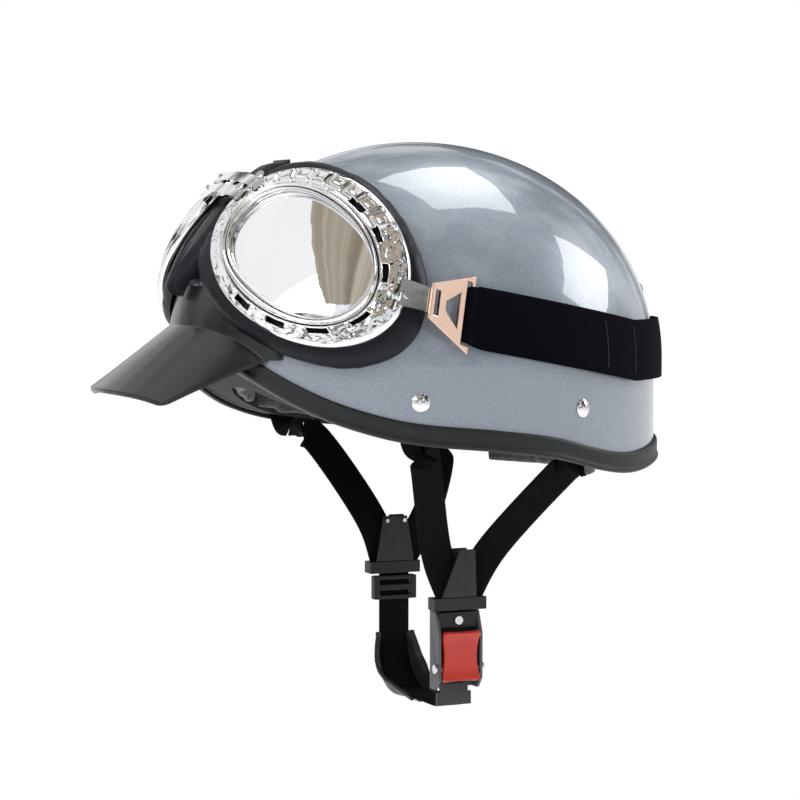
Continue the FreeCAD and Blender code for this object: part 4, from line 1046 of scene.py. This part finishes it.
# ---- straps ---------------------------------------------------------------------------------------
def curve_through(points, t):
    """Smooth curve through points; t runs from 0 to the last index."""
    i = min(int(t), len(points) - 2)
    f = t - i
    p1, p2 = points[i], points[i + 1]
    p0 = points[i - 1] if i > 0 else p1 * 2 - p2
    p3 = points[i + 2] if i + 2 < len(points) else p2 * 2 - p1
    return (p1 * 2 + (p2 - p0) * f + (p0 * 2 - p1 * 5 + p2 * 4 - p3) * f * f
            + (p1 * 3 - p0 - p2 * 3 + p3) * f ** 3) * 0.5


def strap_section(width, thick, columns=12):
    """(across, through) points of a strap's section, with rounded selvedges."""
    points = []
    for side in (1, -1):
        for j in range(columns + 1):
            u = -1 + 2 * j / columns
            edge = (1 - abs(u) ** 10) ** 0.5
            points.append((u * side * width / 2, side * thick / 2 * max(edge, 0.2)))
    return points


def strap_piece(name, stations, width, thick, rib_pitch=2.2, rib_depth=0.22, step=0.55):
    """A ribbed strap through (centre, across, face) stations, with its run stored for the weave."""
    centres = [s[0] for s in stations]
    acrosses = [s[1].normalized() for s in stations]
    faces = [s[2].normalized() for s in stations]
    samples = 400
    path = [curve_through(centres, (len(centres) - 1) * k / samples) for k in range(samples + 1)]
    lengths = [0.0]
    for a, b in zip(path, path[1:]):
        lengths.append(lengths[-1] + (b - a).length)
    count = int(lengths[-1] / step)
    section = strap_section(width, thick)
    grid, runs = [], []
    k = 0
    for i in range(count + 1):
        want = lengths[-1] * i / count
        while k < samples - 1 and lengths[k + 1] < want:
            k += 1
        f = (want - lengths[k]) / max(lengths[k + 1] - lengths[k], 1e-9)
        centre = path[k].lerp(path[k + 1], f)
        run = (path[min(k + 2, samples)] - path[max(k - 1, 0)]).normalized()
        t = (len(centres) - 1) * (k + f) / samples
        face = curve_through(faces, t)
        face = (face - run * face.dot(run)).normalized()
        across = run.cross(face).normalized()
        if across.dot(curve_through(acrosses, t)) < 0:
            across = -across
        rib = 0.5 + 0.5 * math.cos(2 * math.pi * want / rib_pitch)
        row = []
        for w, h in section:
            edge = 1 - step_up(0.86, 0.98, abs(w) / (width / 2))
            height = h - math.copysign(rib_depth * rib * edge, h)
            row.append(centre + across * w + face * height)
            runs.append((want, w))
        grid.append(row)
    return grid_piece(name, grid, close_columns=True, caps=True, runs=runs)


def leg_stations(index, side):
    """Stations of one webbing leg from its rivet down into the divider's bar."""
    y, z = RIVET_SPOTS[index]
    p = surface_point(-SHELL_WALL - 1.6, y, z, side)
    n = surface_normal(surface_point(0, y, z, side))
    across = V((-n.y * side, n.x * side, 0))
    edge_z, root_y = LEG_EDGE_Z[index], LEG_ROOT_Y[index]
    top_z = DIVIDER_TOP_Z[side]
    x = side * (DIVIDER_X + PLY * (1 - index))
    free = V((side * EDGE_X, root_y, edge_z - 6))
    neck = V((x, LOOP_Y + LEG_NECK[index], top_z))
    foot = V((x, LOOP_Y + LEG_FOOT[index], top_z - DIVIDER_HEIGHT - 2))
    run = (neck - free).normalized()
    hang_across = V((side, 0, 0)).cross(run).normalized()
    if hang_across.y < 0:
        hang_across = -hang_across
    hang_face = hang_across.cross(run)
    if hang_face.x * side < 0:
        hang_face = -hang_face
    slant = (foot - neck).normalized()
    foot_across = V((0, -slant.z, slant.y))
    bend_y = p.y + (root_y - p.y) * 0.4
    bend_face = V((n.x * 0.7, n.y * 0.7, 0.7))
    flat = V((side, 0, 0))
    return [(V((p.x, p.y, z + 9)), across, n), (V((p.x, p.y, edge_z + 12)), across, n),
            (V((side * (EDGE_X + 15), bend_y, edge_z + 1)), across + hang_across, bend_face),
            (free, hang_across, hang_face), (neck, foot_across + hang_across, flat),
            (foot, foot_across, flat)]


def sole_x(side):
    return side * (DIVIDER_X - PLY)


def make_legs():
    legs = []
    for index, place in enumerate(("front", "rear")):
        for side, hand in ((1, "left"), (-1, "right")):
            name = "webbing_%s_%s" % (place, hand)
            legs.append((name, strap_piece(name + "_woven", leg_stations(index, side), WEB_WIDTH, WEB_THICK)))
    return legs


TONGUE_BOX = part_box("buckle_tongue")
TONGUE_X = TONGUE_BOX[0][0] / MM


def loop_bend(centre_x, radius, from_deg, to_deg, steps):
    stations = []
    for i in range(steps + 1):
        a = math.radians(from_deg + (to_deg - from_deg) * i / steps)
        face = V((math.cos(a), 0, math.sin(a)))
        stations.append((V((centre_x, LOOP_Y, LOOP_LOW_Z + radius)) + face * radius, V((0, 1, 0)), face))
    return stations


def make_chin_web():
    """Ribbed web from the right divider, under the chin, up to the tongue's tail."""
    x0 = sole_x(-1)
    top = V((x0, LOOP_Y, DIVIDER_TOP_Z[-1] - 8))
    tail_x = TONGUE_X - 0.4 - WEB_THICK / 2
    stations = [(top, V((0, 1, 0)), V((-1, 0, 0))),
                (V((x0, LOOP_Y, -95)), V((0, 1, 0)), V((-1, 0, 0)))]
    stations += loop_bend(x0 + LOOP_BEND_R, LOOP_BEND_R, 180, 270, 6)
    stations += loop_bend(tail_x - TAIL_BEND_R, TAIL_BEND_R, 270, 360, 4)
    return strap_piece("chin_web_woven", stations, WEB_WIDTH, WEB_THICK, 2.4, 0.3)


def make_buckle_web():
    x = sole_x(1)
    high, low = DIVIDER_TOP_Z[1] - 8, -106.0
    stations = [(V((x, LOOP_Y, z)), V((0, 1, 0)), V((1, 0, 0))) for z in (high, (high + low) / 2, low)]
    return strap_piece("buckle_web_woven", stations, WEB_WIDTH, WEB_THICK)


KEEPER_BACK = 3.4
KEEPER_OVER = 6.4
KEEPER_WIDTH = 17.0
KEEPER_LOW_Z, KEEPER_TOP_Z = -6.0, 86.0
STUD_Z = 78.0
STITCH_PITCH, STITCH_LENGTH, STITCH_RADIUS = 3.2, 2.2, 0.28
STITCH_INSET = 2.2          # from the strap's edge to its row of stitches
KEEPER_CORNER = 8.5         # radius of the strap's rounded ends


def make_keeper():
    """Leather keeper from its rivet, over the elastic, to the snap, with a row of stitches each side."""
    y, over = HALF_LENGTH + KEEPER_BACK, HALF_LENGTH + KEEPER_OVER
    snap = HALF_LENGTH * math.sqrt(1 - ((STUD_Z - WIDEST_Z) / CROWN_RISE) ** 2) + KEEPER_OVER
    path = [(y, KEEPER_LOW_Z), (y - 0.3, 0.0), (y - 0.2, 6.0), (y + 0.3, 11.0), (y + 2.4, 15.0),
            (over + 0.2, 20.0), (over + 0.4, 32.0), (over + 0.4, 46.0), (over - 0.3, 58.0),
            (over - 1.6, 66.0), (snap + 0.3, 72.5), (snap, 79.0), (snap + 0.4, KEEPER_TOP_Z)]
    rows, columns = 150, 18
    front, back = [], []
    centres = [V((0, b, c)) for b, c in path]
    for i in range(rows + 1):
        t = i / rows
        centre = curve_through(centres, t * (len(centres) - 1))
        ahead = curve_through(centres, min(t + 0.01, 1.0) * (len(centres) - 1))
        behind = curve_through(centres, max(t - 0.01, 0.0) * (len(centres) - 1))
        run = (ahead - behind).normalized()
        out = V((0, run.z, -run.y))
        end = min(centre.z - KEEPER_LOW_Z, KEEPER_TOP_Z - centre.z)
        corner = KEEPER_WIDTH / 2
        if end <= KEEPER_CORNER:
            corner = math.sqrt(max(KEEPER_CORNER ** 2 - (KEEPER_CORNER - end) ** 2, 4.0))
        front_row, back_row = [], []
        for j in range(columns + 1):
            u = -1 + 2 * j / columns
            edge = math.sqrt(max(1 - abs(u) ** 8, 0.0))
            crown = 0.25 * (1 - u * u) + 0.12 * noise.noise(V((u * 2, t * 12, 0)))
            groove = 0.18 * math.exp(-((abs(u) * corner - corner + STITCH_INSET) / 0.5) ** 2)
            front_row.append(centre + V((corner * u, 0, 0)) + out * (0.2 + 0.8 * edge + crown - groove))
            back_row.append(centre + V((corner * u, 0, 0)) - out * (0.2 + 0.75 * edge))
        front.append(front_row)
        back.append(back_row)
    grid = [f + list(reversed(b)) for f, b in zip(front, back)]
    strap = grid_piece("keeper_leather_tab", grid, close_columns=True, caps=True)
    strap.data.materials.append(MATERIALS["keeper_leather"])
    stitches = []
    length = KEEPER_TOP_Z - KEEPER_LOW_Z
    count = int((length - 16) / STITCH_PITCH)
    for side in (-1, 1):
        row = V((side * (KEEPER_WIDTH / 2 - STITCH_INSET), 0, 0))
        for k in range(count):
            t = (9.0 + k * STITCH_PITCH) / length
            a = keeper_face(centres, t) + row
            b = keeper_face(centres, t + STITCH_LENGTH / length) + row
            thread = stitch(a, b, STITCH_RADIUS)
            thread.data.materials.append(MATERIALS["thread"])
            stitches.append(thread)
    return joined("keeper_leather_tab", [strap] + stitches)


def keeper_face(centres, t):
    t = t * (len(centres) - 1)
    centre = curve_through(centres, t)
    run = (curve_through(centres, t + 0.05) - curve_through(centres, t - 0.05)).normalized()
    return centre + V((0, run.z, -run.y)) * 1.1


# ---- chin pad and release lever -------------------------------------------------------------------------
PAD_HALF_Y = 17.0
PAD_LIFT = 8.5
PAD_TAIL = 7.0              # straight part above the bend, which stays clear of the slider


def make_chin_pad():
    """Leather cup round the bend of the web: raised thin edges, pleated where it closes by the buckle."""
    x0 = sole_x(-1)
    bend_x, bend_z, radius = x0 + LOOP_BEND_R, LOOP_LOW_Z + LOOP_BEND_R, LOOP_BEND_R
    rows, columns = 84, 36
    shell_rows = []
    for i in range(rows + 1):
        t = i / rows
        if t < 0.12:
            q = t / 0.12
            centre, inward = V((x0, LOOP_Y, bend_z + PAD_TAIL * (1 - q))), V((1, 0, 0))
        elif t < 0.72:
            a = math.radians(180 + 90 * (t - 0.12) / 0.6)
            centre = V((bend_x + radius * math.cos(a), LOOP_Y, bend_z + radius * math.sin(a)))
            inward = V((-math.cos(a), 0, -math.sin(a)))
        else:
            centre, inward = V((bend_x + 20 * (t - 0.72) / 0.28, LOOP_Y, LOOP_LOW_Z)), V((0, 0, 1))
        belly = math.sin(math.pi * min(t * 1.08, 1.0)) ** 0.7 if t < 0.93 else 0.0
        close = step_up(0.72, 1.0, t)
        half = 11.5 + (PAD_HALF_Y - 11.5) * max(belly, 0.25) - 2.0 * close
        row = []
        for j in range(columns + 1):
            u = -1 + 2 * j / columns
            curl = step_up(0.45, 1.0, abs(u))
            lift = PAD_LIFT * curl * (0.35 + 0.65 * belly) * (1 - 0.35 * close)
            lift += 1.3 * close * math.sin(u * 11.0) * (1 - abs(u) ** 6)
            lift += 0.7 * noise.noise(V((t * 6.0, u * 2.2, 5.0)))
            tuck = half * (abs(u) - 0.12 * curl * abs(u)) * (1 if u > 0 else -1)
            row.append(centre + V((0, tuck, 0)) + inward * (lift - 1.7 - 0.8 * (1 - curl)))
        shell_rows.append(row)
    sheet = grid_piece("chin_cup_leather", shell_rows)
    add_modifier(sheet, "SOLIDIFY", thickness=1.6 * MM, offset=0.0)
    bake_modifiers(sheet)
    subdivide(sheet)
    beads = []
    for end in (0, -1):
        line = [row[end] for row in shell_rows]
        beads.append(tube("chin_cup_bead", line, 1.25))
    return joined("chin_cup_leather", [sheet] + beads)


def tube(name, line, radius, sides=8):
    grid = []
    for i, p in enumerate(line):
        run = (line[min(i + 1, len(line) - 1)] - line[max(i - 1, 0)]).normalized()
        x = run.cross(V((0, 1, 0)))
        if x.length < 0.1:
            x = run.cross(V((1, 0, 0)))
        x.normalize()
        y = run.cross(x)
        small = 0.5 if i in (0, len(line) - 1) else 1.0
        grid.append([p + (x * math.cos(q) + y * math.sin(q)) * radius * small
                     for q in (2 * math.pi * k / sides for k in range(sides))])
    return grid_piece(name, grid, close_columns=True, caps=True)


PIN_X, PIN_Z = 48.6, -129.0
LEVER_HALF_Y = 11.3
LEVER_TOP_Z, LEVER_LOW_Z = -108.5, -135.5


def make_lever():
    """Waisted pull with softly curled top and bottom edges, over its lugs and pawl."""
    rows, columns = 44, 28
    grid = []
    for i in range(rows + 1):
        t = i / rows
        z = LEVER_TOP_Z + (LEVER_LOW_Z - LEVER_TOP_Z) * t
        half = LEVER_HALF_Y - 1.5 * math.sin(math.pi * t) ** 1.3
        corner = min(t, 1 - t) * (LEVER_TOP_Z - LEVER_LOW_Z)
        if corner < 2.0:
            half -= 2.0 - math.sqrt(4.0 - (2.0 - corner) ** 2)
        curl = 2.6 * (1 - step_up(0.0, 0.2, t)) + 1.5 * step_up(0.8, 1.0, t) - 0.7 * math.sin(math.pi * t)
        row = []
        for j in range(columns + 1):
            u = -1 + 2 * j / columns
            dish = 0.5 * (u * u) - 0.3
            row.append(V((PIN_X + 4.2 + curl + dish, LOOP_Y + half * u, z)))
        grid.append(row)
    plate = grid_piece("release_pull", grid)
    for polygon in plate.data.polygons:
        if polygon.normal.x < 0:
            polygon.flip()
    add_modifier(plate, "SOLIDIFY", thickness=2.7 * MM, offset=-1.0)
    add_modifier(plate, "BEVEL", width=0.55 * MM, segments=3, limit_method="ANGLE",
                 angle_limit=math.radians(45))
    bake_modifiers(plate)
    parts = [plate]
    for side in (-1, 1):
        parts.append(disc_on_pin(LOOP_Y + side * 5.5, LOOP_Y + side * 9.0, 3.2))
    parts.append(pawl_piece())
    return joined("release_pull", parts)


def disc_on_pin(y0, y1, radius):
    """A lug round the lever's pin, with eased rims."""
    grid = []
    for t, r in ((0.0, 0.86), (0.12, 1.0), (0.88, 1.0), (1.0, 0.86)):
        y = y0 + (y1 - y0) * t
        grid.append([V((PIN_X + radius * r * math.cos(q), y, PIN_Z + radius * r * math.sin(q)))
                     for q in (2 * math.pi * k / 32 for k in range(32))])
    return grid_piece("lug", grid, close_columns=True, caps=True)


def pawl_piece():
    """The finger inside the pull that catches the tongue's teeth."""
    tip = TONGUE_BOX[1][0] / MM + 0.35
    grid = []
    for x, low, high in ((tip, 9.6, 10.4), (tip + 1.2, 8.2, 10.9),
                         (PIN_X + 1.0, 8.0, 11.0), (PIN_X + 2.2, 8.0, 11.0)):
        grid.append([V((x, LOOP_Y + y, PIN_Z + z)) for y, z in ((-5, low), (5, low), (5, high), (-5, high))])
    return grid_piece("pawl", grid, close_columns=True, caps=True)


# ---- stage -----------------------------------------------------------------------------------------
def aim(thing, target, spin=0.0):
    """Turn a light, card or camera so that its -Z looks at a point, then spin it about that line."""
    look = V(target) - thing.location
    facing = look.to_track_quat("-Z", "Y").to_matrix()
    thing.rotation_euler = (facing @ Matrix.Rotation(spin, 3, "Z")).to_euler()


def add_softbox(name, place, target, width, height, power, spin=0.0):
    data = bpy.data.lights.new(name, "AREA")
    data.shape = "RECTANGLE"
    data.size = width
    data.size_y = height
    data.energy = power
    light = bpy.data.objects.new(name, data)
    light.location = place
    bpy.context.scene.collection.objects.link(light)
    aim(light, target, spin)
    return light


# soft lights: name, place, target, width, height and power, then the turn about its own line in degrees
SOFTBOXES = (("overhead_softbox", (-0.14, 0.44, 1.35), (0.0, 0.0, 0.1), 0.76, 0.68, 7.4, 0.0),
             ("rear_softbox", (0.30, 1.35, 0.68), (0.09, 0.05, 0.09), 0.73, 0.58, 7.4, 35.0),
             ("front_softbox", (0.9, -1.5, 1.2), (0.0, 0.0, 0.05), 1.2, 0.9, 14.0, 0.0))
# the window and the curtain that the lenses mirror: corners in metres, folds per metre along X and Y
WINDOW_CORNERS = ((-1.1, -1.5, 0.95), (1.0, -1.9, 0.95), (1.0, -0.6, 1.9), (-1.0, -0.2, 1.9))
CURTAIN_CORNERS = ((-0.1, -0.35, 0.9), (1.28, -1.32, 0.9), (1.9, -0.6, 0.9), (0.4, 0.05, 0.9))
CURTAIN_FOLDS = (5.2, 7.4)


def add_card(name, corners, material):
    """A flat card that only shows in reflections."""
    card = new_piece(name, [V(c) / MM for c in corners], [(0, 1, 2, 3)], smooth=False)
    card.data.materials.append(material)
    card.visible_camera = False
    card.visible_diffuse = False
    card.visible_shadow = False


def card_material(name, dark, light, folds, strength):
    """Glowing card with soft straight folds."""
    material = bpy.data.materials.new(name)
    material.use_nodes = True
    tree = material.node_tree
    tree.nodes.remove(tree.nodes["Principled BSDF"])
    place = node(tree, "ShaderNodeTexCoord").outputs["Object"]
    across = node(tree, "ShaderNodeVectorMath", {0: place, 1: (folds[0], folds[1], 0.0)},
                  operation="DOT_PRODUCT")
    waves = node(tree, "ShaderNodeTexNoise", {"W": across.outputs["Value"], "Scale": 1.0, "Detail": 3.0},
                 noise_dimensions="1D")
    colour = blend_colours(tree, spread(tree, waves.outputs["Fac"], 0.35, 0.65), rgba(dark), rgba(light))
    glow = node(tree, "ShaderNodeEmission", {"Color": colour, "Strength": strength})
    tree.links.new(glow.outputs[0], tree.nodes["Material Output"].inputs["Surface"])
    return material


def make_world(strength):
    """White for the eye, even light for the pieces, and leafy light and shade in polished metal."""
    world = bpy.data.worlds.new("studio")
    bpy.context.scene.world = world
    world.use_nodes = True
    tree = world.node_tree
    plain = tree.nodes["Background"]
    plain.inputs["Color"].default_value = (1.0, 1.0, 1.0, 1.0)
    rays = node(tree, "ShaderNodeLightPath").outputs
    extra = maths(tree, "MULTIPLY", rays["Is Camera Ray"], 1.0 - strength)
    tree.links.new(maths(tree, "ADD", extra, strength), plain.inputs["Strength"])
    place = node(tree, "ShaderNodeTexCoord").outputs["Generated"]
    leaves = node(tree, "ShaderNodeTexNoise",
                  {"Vector": place, "Scale": 2.6, "Detail": 5.0, "Roughness": 0.6})
    patches = blend_colours(tree, spread(tree, leaves.outputs["Fac"], 0.44, 0.56),
                            (0.03, 0.04, 0.025, 1), (0.95, 0.97, 1.0, 1))
    mirrored_room = node(tree, "ShaderNodeBackground", {"Color": patches})
    mix = node(tree, "ShaderNodeMixShader", {0: rays["Is Glossy Ray"], 1: plain.outputs[0],
                                             2: mirrored_room.outputs[0]})
    tree.links.new(mix.outputs[0], tree.nodes["World Output"].inputs["Surface"])


FLOOR_HALF = 12.0


def make_floor(drop):
    """A wide pale floor below the helmet: it sends light back up but leaves the background plain."""
    half = FLOOR_HALF / MM
    corners = [V((-half, -half, 0)), V((half, -half, 0)), V((half, half, 0)), V((-half, half, 0))]
    floor = new_piece("floor", corners, [(0, 1, 2, 3)], smooth=False)
    floor.location.z = CAD_BOX[0][2] - drop
    tree, shader = new_material("pale_floor", Roughness=0.9, Specular_IOR_Level=0.1,
                                Emission_Color=(1.0, 1.0, 1.0, 1.0), Emission_Strength=0.3)
    place = node(tree, "ShaderNodeTexCoord").outputs["Object"]
    cloud = node(tree, "ShaderNodeTexNoise", {"Vector": place, "Scale": 1.3}).outputs["Fac"]
    tone = blend_colours(tree, cloud, (0.9, 0.9, 0.9, 1), (0.93, 0.93, 0.93, 1))
    tree.links.new(tone, shader.inputs["Base Color"])
    floor.data.materials.append(MATERIALS["pale_floor"])
    floor.visible_camera = False


# ---- settings ---------------------------------------------------------------------------------------
class HelmetColours(bpy.types.PropertyGroup):
    """Colours that a user may change"""
    shell: FloatVectorProperty(name="Shell", description="Lacquer of the outer shell", subtype="COLOR",
                               size=3, min=0, max=1, default=(0.222, 0.255, 0.3))
    leather: FloatVectorProperty(name="Goggle leather", description="Leather of the face pads",
                                 subtype="COLOR", size=3, min=0, max=1, default=(0.003, 0.0033, 0.007))
    gold: FloatVectorProperty(name="Hook plating", description="Plating of the strap hooks", subtype="COLOR",
                              size=3, min=0, max=1, default=(0.86, 0.6, 0.47))
    lever: FloatVectorProperty(name="Release lever", description="Plastic of the release lever",
                               subtype="COLOR", size=3, min=0, max=1, default=(0.4, 0.02, 0.011))


class StudioSettings(bpy.types.PropertyGroup):
    """Camera and room"""
    azimuth: FloatProperty(name="Azimuth", description="Camera's direction round the helmet", subtype="ANGLE",
                           default=math.radians(67.0))
    elevation: FloatProperty(name="Elevation", description="Camera's height above the horizon",
                             subtype="ANGLE", default=math.radians(3.5))
    distance: FloatProperty(name="Distance", description="From the camera to the aim", unit="LENGTH",
                            default=1.5)
    aim_at: FloatVectorProperty(name="Aim", description="Point that the camera looks at",
                                subtype="TRANSLATION", size=3, default=(-0.0022, -0.0091, 0.0194))
    lens: FloatProperty(name="Lens", description="Focal length in millimetres on a 36 mm sensor",
                        default=117.4)
    floor_drop: FloatProperty(name="Floor drop", description="Gap between the lowest strap and the floor",
                              unit="LENGTH", default=0.35)
    room_light: FloatProperty(name="Room light", description="Brightness of the surroundings", default=0.7)


class HelmetOperator:
    """Shared by all the operators"""
    bl_options = {"REGISTER", "UNDO"}


class HELMET_OT_materials(HelmetOperator, bpy.types.Operator):
    """Make the shared effects and every material"""
    bl_idname = "helmet.materials"
    bl_label = "Materials"

    def execute(self, context):
        make_materials(context.scene.helmet_colours)
        return {"FINISHED"}


class HELMET_OT_shell(HelmetOperator, bpy.types.Operator):
    """Lacquer the shell and finish the foam, the peak and the metal fittings"""
    bl_idname = "helmet.shell"
    bl_label = "Shell and fittings"

    def execute(self, context):
        dress(["shell"], MATERIALS["shell_lacquer"])
        dress(["foam_liner"], MATERIALS["foam_skin"])
        dress(["peak"], MATERIALS["peak_plastic"], 0.5)
        dress(["peak_screws", "keeper_rivet"], MATERIALS["black_hardware"], 0.3)
        dress(["strap_rivets", "rivet_washers", "keeper_stud", "keeper_cap"], MATERIALS["rivet_chrome"])
        return {"FINISHED"}


class HELMET_OT_trim(HelmetOperator, bpy.types.Operator):
    """Rubber trim round the lower edge"""
    bl_idname = "helmet.trim"
    bl_label = "Edge trim"

    def execute(self, context):
        finish_piece(make_trim(), "helmet", MATERIALS["trim_rubber"], ["edge_trim"])
        return {"FINISHED"}


class HELMET_OT_linings(HelmetOperator, bpy.types.Operator):
    """Quilted comfort pads inside the helmet"""
    bl_idname = "helmet.linings"
    bl_label = "Comfort pads"

    def execute(self, context):
        for name, pad in zip(LINING_NAMES, make_linings()):
            finish_piece(pad, "helmet", MATERIALS["lining_cloth"], [name])
        return {"FINISHED"}


class HELMET_OT_keeper(HelmetOperator, bpy.types.Operator):
    """Leather keeper at the back, with its stitches"""
    bl_idname = "helmet.keeper"
    bl_label = "Strap keeper"

    def execute(self, context):
        keeper = make_keeper()
        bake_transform(keeper)
        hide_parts("keeper_root", "keeper_tab")
        return {"FINISHED"}


class HELMET_OT_goggle_metal(HelmetOperator, bpy.types.Operator):
    """Pressed chrome housings and lens rings, lenses, bridge, side tabs and strap hooks"""
    bl_idname = "helmet.goggle_metal"
    bl_label = "Goggle housings and lenses"

    def execute(self, context):
        for make, material, node_stem in ((make_housing, "goggle_chrome", "goggle_housing"),
                                          (make_bezel, "ring_chrome", "lens_bezel")):
            left = make()
            right = mirrored_copy(left, left.name.replace("left", "right"))
            finish_piece(left, "goggles", MATERIALS[material], [node_stem + "_left"])
            finish_piece(right, "goggles", MATERIALS[material], [node_stem + "_right"])
        dress(both("lens"), MATERIALS["lens_coating"])
        dress(both("vent_mesh"), MATERIALS["vent_foam"])
        dress(["bridge_links", "bridge_screws", "tab_rivets"] + both("side_tab"), MATERIALS["ring_chrome"])
        dress(both("strap_hook"), MATERIALS["hook_gold"], 0.35)
        return {"FINISHED"}


class HELMET_OT_goggle_pads(HelmetOperator, bpy.types.Operator):
    """Rolled leather face pads and the pleated nose piece"""
    bl_idname = "helmet.goggle_pads"
    bl_label = "Goggle leather"

    def execute(self, context):
        left = make_face_pad()
        right = mirrored_copy(left, "face_pad_leather_right")
        nose = make_nose_pad()
        for piece, name in ((left, "face_pad_left"), (right, "face_pad_right"), (nose, "nose_pad")):
            finish_piece(piece, "goggles", MATERIALS["pad_leather"], [name])
        return {"FINISHED"}


class HELMET_OT_elastic(HelmetOperator, bpy.types.Operator):
    """Woven elastic, folded and sewn at both hooks"""
    bl_idname = "helmet.elastic"
    bl_label = "Elastic strap"

    def execute(self, context):
        band = make_elastic()
        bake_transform(band)
        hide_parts("elastic_strap", "elastic_fold")
        return {"FINISHED"}


class HELMET_OT_webbing(HelmetOperator, bpy.types.Operator):
    """Ribbed webbing legs and chin web"""
    bl_idname = "helmet.webbing"
    bl_label = "Webbing"

    def execute(self, context):
        for name, leg in make_legs():
            leg.data.materials.append(MATERIALS["webbing_weave"])
            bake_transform(leg)
            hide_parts(name)
        web = make_chin_web()
        web.data.materials.append(MATERIALS["webbing_weave"])
        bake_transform(web)
        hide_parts("chin_web")
        finish_piece(make_buckle_web(), "harness", MATERIALS["webbing_weave"], ["buckle_web"])
        return {"FINISHED"}


class HELMET_OT_harness(HelmetOperator, bpy.types.Operator):
    """Dividers, slider, buckle and its release lever"""
    bl_idname = "helmet.harness"
    bl_label = "Buckle and dividers"

    def execute(self, context):
        dress(both("divider"), MATERIALS["divider_plate"], 0.4)
        dress(both("divider_bar") + ["length_slider", "buckle_cover"], MATERIALS["harness_plastic"], 0.5)
        dress(["divider_studs", "lever_pin", "cover_screw"], MATERIALS["pin_steel"], 0.2)
        dress(["lever_spring"], MATERIALS["spring_steel"], 0.1)
        dress(["buckle_frame"], MATERIALS["buckle_grey"], 0.35)
        dress(["buckle_tongue"], MATERIALS["tongue_plastic"], 0.25)
        finish_piece(make_lever(), "lever", MATERIALS["lever_red"], ["release_lever"])
        return {"FINISHED"}


class HELMET_OT_chin_pad(HelmetOperator, bpy.types.Operator):
    """Leather chin cup"""
    bl_idname = "helmet.chin_pad"
    bl_label = "Chin cup"

    def execute(self, context):
        pad = finish_piece(make_chin_pad(), "harness", MATERIALS["chin_leather"],
                           ["chin_pad"])
        return {"FINISHED"}


class HELMET_OT_stage(HelmetOperator, bpy.types.Operator):
    """Floor, soft light and camera"""
    bl_idname = "helmet.stage"
    bl_label = "Stage"

    def execute(self, context):
        studio = context.scene.helmet_studio
        make_world(studio.room_light)
        make_floor(studio.floor_drop)
        for name, place, target, width, height, power, turn in SOFTBOXES:
            add_softbox(name, place, target, width, height, power, math.radians(turn))
        window = card_material("window", (1.0, 1.0, 1.0), (0.97, 0.98, 1.0), (1.0, 1.0), 1.0)
        curtain = card_material("curtain", (0.30, 0.25, 0.19), (0.62, 0.56, 0.46), CURTAIN_FOLDS, 0.9)
        add_card("window_card", WINDOW_CORNERS, window)
        add_card("curtain_card", CURTAIN_CORNERS, curtain)
        data = bpy.data.cameras.new("camera")
        data.lens = studio.lens
        data.sensor_width = 36.0
        camera = bpy.data.objects.new("camera", data)
        context.scene.collection.objects.link(camera)
        flat = math.cos(studio.elevation)
        back = V((math.sin(studio.azimuth) * flat, -math.cos(studio.azimuth) * flat,
                  math.sin(studio.elevation)))
        camera.location = V(studio.aim_at) + back * studio.distance
        aim(camera, studio.aim_at)
        context.scene.camera = camera
        context.scene.view_settings.view_transform = "Standard"
        return {"FINISHED"}


OPERATORS = (HELMET_OT_materials, HELMET_OT_shell, HELMET_OT_trim, HELMET_OT_linings, HELMET_OT_keeper,
             HELMET_OT_goggle_metal, HELMET_OT_goggle_pads, HELMET_OT_elastic, HELMET_OT_webbing,
             HELMET_OT_harness, HELMET_OT_chin_pad, HELMET_OT_stage)


class HELMET_PT_panel(bpy.types.Panel):
    """Lists the helmet's operators and settings"""
    bl_label = "Half Helmet"
    bl_idname = "HELMET_PT_panel"
    bl_space_type = "VIEW_3D"
    bl_region_type = "UI"
    bl_category = "Helmet"

    def draw(self, context):
        for settings in (context.scene.helmet_colours, context.scene.helmet_studio):
            for name in settings.__annotations__:
                self.layout.prop(settings, name)
        for operator in OPERATORS:
            self.layout.operator(operator.bl_idname)


CLASSES = (HelmetColours, StudioSettings) + OPERATORS + (HELMET_PT_panel,)


def register():
    for item in CLASSES:
        bpy.utils.register_class(item)
    bpy.types.Scene.helmet_colours = PointerProperty(type=HelmetColours)
    bpy.types.Scene.helmet_studio = PointerProperty(type=StudioSettings)


def unregister():
    del bpy.types.Scene.helmet_colours
    del bpy.types.Scene.helmet_studio
    for item in reversed(CLASSES):
        bpy.utils.unregister_class(item)


def main():
    register()
    bpy.ops.helmet.materials()
    bpy.ops.helmet.shell()
    bpy.ops.helmet.trim()
    bpy.ops.helmet.linings()
    bpy.ops.helmet.keeper()
    bpy.ops.helmet.goggle_metal()
    bpy.ops.helmet.goggle_pads()
    bpy.ops.helmet.elastic()
    bpy.ops.helmet.webbing()
    bpy.ops.helmet.harness()
    bpy.ops.helmet.chin_pad()
    bpy.ops.helmet.stage()


if __name__ == "__main__":
    main()
